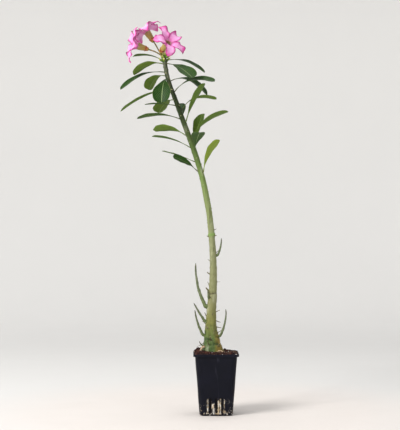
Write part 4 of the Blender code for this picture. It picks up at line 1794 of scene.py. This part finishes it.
def corolla_mesh(flower):
    """Tube and lobes as one sheet, with its inside facing in."""
    bm = bmesh.new()
    columns = 2 * LOBE_HALF_COLUMNS
    sector = math.pi / LOBE_COUNT
    places = {}
    ring_size = columns * LOBE_COUNT
    tube_rings = []
    for row in range(TUBE_ROWS + 1):
        share = row / TUBE_ROWS
        radius = flower_radius(flower, share)
        ring = []
        for index in range(ring_size):
            across = (index % columns) / LOBE_HALF_COLUMNS - 1
            lobe = index // columns
            angle = 2 * sector * lobe + across * sector
            pleat = 1 + 0.05 * math.cos(angle * LOBE_COUNT) * ease(share, 0.1, 0.8)
            vert = bm.verts.new(
                (
                    math.cos(angle) * radius * pleat,
                    math.sin(angle) * radius * pleat,
                    share * flower.length,
                )
            )
            places[vert] = share * TUBE_SHARE
            ring.append(vert)
        tube_rings.append(ring)
    faces = banded(bm, tube_rings)
    mouth = tube_rings[-1]
    layer = bm.loops.layers.uv.new("along")
    for face_index, face in enumerate(faces):
        column = face_index % ring_size % columns
        for loop in face.loops:
            right = loop.vert in (face.verts[1], face.verts[2])
            loop[layer].uv = ((column + right) / columns, places[loop.vert])
    for lobe in range(LOBE_COUNT):
        turn = Matrix.Rotation(2 * sector * lobe, 3, "Z")
        before = [mouth[(lobe * columns + column) % ring_size] for column in range(columns + 1)]
        for row in range(1, LOBE_ROWS + 1):
            share = row / LOBE_ROWS
            ring = []
            for column in range(columns + 1):
                across = column / LOBE_HALF_COLUMNS - 1
                place = lobe_point(flower, lobe, share, across)
                angle = across * sector
                radius = flower.tube[-1] * (1 + 1.2 * share)
                circle = Vector((math.cos(angle) * radius, math.sin(angle) * radius, place.z))
                place = circle.lerp(place, ease(share, 0.0, 0.16))
                vert = bm.verts.new(turn @ place)
                places[vert] = blend(TUBE_SHARE, 1, share)
                ring.append(vert)
            for column in range(columns):
                face = bm.faces.new((before[column], before[column + 1], ring[column + 1], ring[column]))
                for loop, offset in zip(face.loops, (0, 1, 1, 0)):
                    loop[layer].uv = ((column + offset) / columns, places[loop.vert])
            before = ring
    bm.transform(flower.frame)
    bm.normal_update()
    name = f"flower_{flower.number}_petals"
    mesh = smooth_mesh(bm, name)
    for finish_name in ("petal_back", "petal_face"):
        mesh.materials.append(FINISHES[finish_name]())
    return shelled(mesh, name, PETAL_THICK, inside=1)


def make_calyx(flower):
    """Five pointed sepals on a shallow cup."""
    bm = bmesh.new()
    rows, columns = 10, 50
    low = -0.6 * MM
    clear = 0.75 * MM
    rings, places = [], []
    for row in range(rows + 1):
        share = row / rows
        ring = []
        for column in range(columns):
            angle = 2 * math.pi * column / columns
            petal = abs(math.cos(angle * LOBE_COUNT / 2)) ** 0.7
            height = blend(low, blend(2.6, 8.0, petal) * MM, share)
            inner = flower_radius(flower, min(max(height / flower.length, 0), 1))
            out = inner + clear * (0.5 + share * 0.6) + 0.7 * MM * ease(share, 0.6, 1) * petal
            if row == 0:
                out = 1.1 * MM
            ring.append(bm.verts.new((math.cos(angle) * out, math.sin(angle) * out, height)))
            places.append((column / columns, share))
        rings.append(ring)
    banded(bm, rings)
    bm.transform(flower.frame)
    name = f"flower_{flower.number}_sepals"
    mesh = smooth_mesh(bm, name)
    set_uv(mesh, places)
    shell = shelled(mesh, name, SEPAL_THICK)
    finished(name, shell, ["sepal"], f"flower_{flower.number}_calyx", slot="calyx")


def make_stalk(flower):
    node = f"flower_{flower.number}_stalk"
    centres, radii = rooted_tube(node)

    def shape(share, angle, radius):
        place = Vector((math.cos(angle), math.sin(angle), share * 9 + flower.number * 4))
        return radius * (1 + 0.35 * (1 - ease(share, 0, 0.2)) + 0.12 * noise.noise(place))

    made = skin(resampled(centres, STALK_RINGS), resampled(radii, STALK_RINGS), STALK_SIDES, shape)
    finished_skin(f"flower_{flower.number}_stem", made, "flower_stalk", node, "stalk")


def make_anthers(flower):
    """A cone of five anthers in the throat, each drawn out in a long twisted tail."""
    parts = []
    for anther in range(LOBE_COUNT):
        points, radii = [], []
        for step in range(22):
            share = step / 21
            angle = 2 * math.pi * anther / LOBE_COUNT + share * 2.6
            out = smooth_between(flower.anther_radii, share * (len(flower.anther_radii) - 1)) * 0.7
            out += 0.5 * MM * ease(share, 0.75, 1)
            along = share * (flower.length - 1.0 * MM) + 0.4 * MM
            points.append(
                flower.frame @ Vector((math.cos(angle) * out, math.sin(angle) * out, along))
            )
            radii.append(blend(0.55, 0.16, ease(share, 0.45, 0.95)) * MM)
        parts.append(skin(points, radii, 8)[0])
    name = f"flower_{flower.number}_stamens"
    node = f"flower_{flower.number}_anthers"
    finished(name, joined(parts, name), ["anther_down"], node, slot="anther")


def make_flower(number):
    flower = FlowerShape(number)
    mesh = corolla_mesh(flower)
    node = f"flower_{number}_corolla"
    finished(f"flower_{number}_petals", mesh, ["petal_back", "petal_face"], node, slot="petal")
    make_calyx(flower)
    make_stalk(flower)
    make_anthers(flower)


# The studio

FLOOR_FLAT = 2.7
FLOOR_CURVE = 1.5
FLOOR_WALL = 3.5
FLOOR_SIDES = 96
CURVE_STEPS = 16
CAMERA_PLACE = Vector((-0.031, -1.9, 0.30))
CAMERA_AIM = Vector((-0.031, 0, 0.387))
CAMERA_LENS = 81.04
AIR_COLOUR = (0.97, 0.98, 1.0, 1)
AIR_STRENGTH = 0.52


def make_floor():
    """A wide flat floor that curves up into a round wall."""
    profile = [(share * FLOOR_FLAT, 0) for share in (0.04, 0.12, 0.25, 0.5, 0.75, 1)]
    for step in range(1, CURVE_STEPS + 1):
        angle = math.pi / 2 * step / CURVE_STEPS
        profile.append(
            (FLOOR_FLAT + math.sin(angle) * FLOOR_CURVE, (1 - math.cos(angle)) * FLOOR_CURVE)
        )
    profile.append((FLOOR_FLAT + FLOOR_CURVE, FLOOR_WALL))
    bm = bmesh.new()
    angles = [2 * math.pi * side / FLOOR_SIDES for side in range(FLOOR_SIDES)]
    rings = [
        [bm.verts.new((math.cos(angle) * out, math.sin(angle) * out, up)) for angle in angles]
        for out, up in profile
    ]
    for inner, outer in zip(rings, rings[1:]):
        for side in range(FLOOR_SIDES):
            after = (side + 1) % FLOOR_SIDES
            bm.faces.new((inner[side], outer[side], outer[after], inner[after]))
    bm.faces.new(rings[0])
    floor = loose("studio_floor", smooth_mesh(bm, "studio_floor"))
    floor.data.materials.append(FINISHES["studio_paper"]())


# Name, place, aim, size, power and colour.
LIGHTS = (
    ("key", (-2.1, -1.9, 2.3), (-0.03, 0, 0.40), 1.3, 118, (1.0, 0.985, 0.965)),
    ("fill", (2.2, -1.6, 1.4), (-0.03, 0, 0.40), 2.0, 7, (0.94, 0.97, 1.0)),
    ("top", (0.1, 0.4, 3.0), (-0.03, 0, 0.30), 2.2, 24, (1.0, 1.0, 1.0)),
)


def make_lights():
    for name, place, aim, size, power, colour in LIGHTS:
        data = bpy.data.lights.new(name, "AREA")
        data.size, data.energy, data.color = size, power, colour
        light = bpy.data.objects.new(name, data)
        light.location = place
        light.rotation_mode = "QUATERNION"
        light.rotation_quaternion = (Vector(aim) - Vector(place)).to_track_quat("-Z", "Y")
        light.visible_camera = False
        bpy.context.scene.collection.objects.link(light)
    world = bpy.data.worlds.new("studio_air")
    world.use_nodes = True
    air = world.node_tree.nodes["Background"]
    air.inputs["Color"].default_value = AIR_COLOUR
    air.inputs["Strength"].default_value = AIR_STRENGTH
    bpy.context.scene.world = world


def make_camera():
    data = bpy.data.cameras.new("view")
    data.lens, data.sensor_width = CAMERA_LENS, 36
    data.clip_start, data.clip_end = 0.05, 20
    camera = bpy.data.objects.new("view", data)
    camera.location = CAMERA_PLACE
    camera.rotation_mode = "QUATERNION"
    camera.rotation_quaternion = (CAMERA_AIM - CAMERA_PLACE).to_track_quat("-Z", "Y")
    bpy.context.scene.collection.objects.link(camera)
    bpy.context.scene.camera = camera


def make_all():
    make_pot()
    soil_mesh = make_soil()
    make_grains(soil_mesh)
    make_fibres()
    make_surface_roots()
    make_stem()
    make_scars()
    make_snags()
    for make, count in ((make_shoot, SHOOT_COUNT), (make_leaf, LEAF_COUNT), (make_bud, BUD_COUNT)):
        for number in range(1, count + 1):
            make(number)
    make_bracts()
    for number in range(1, FLOWER_COUNT + 1):
        make_flower(number)
    make_floor()
    make_lights()
    make_camera()
    view = bpy.context.scene.view_settings
    view.view_transform, view.look = "Standard", "None"


make_all()
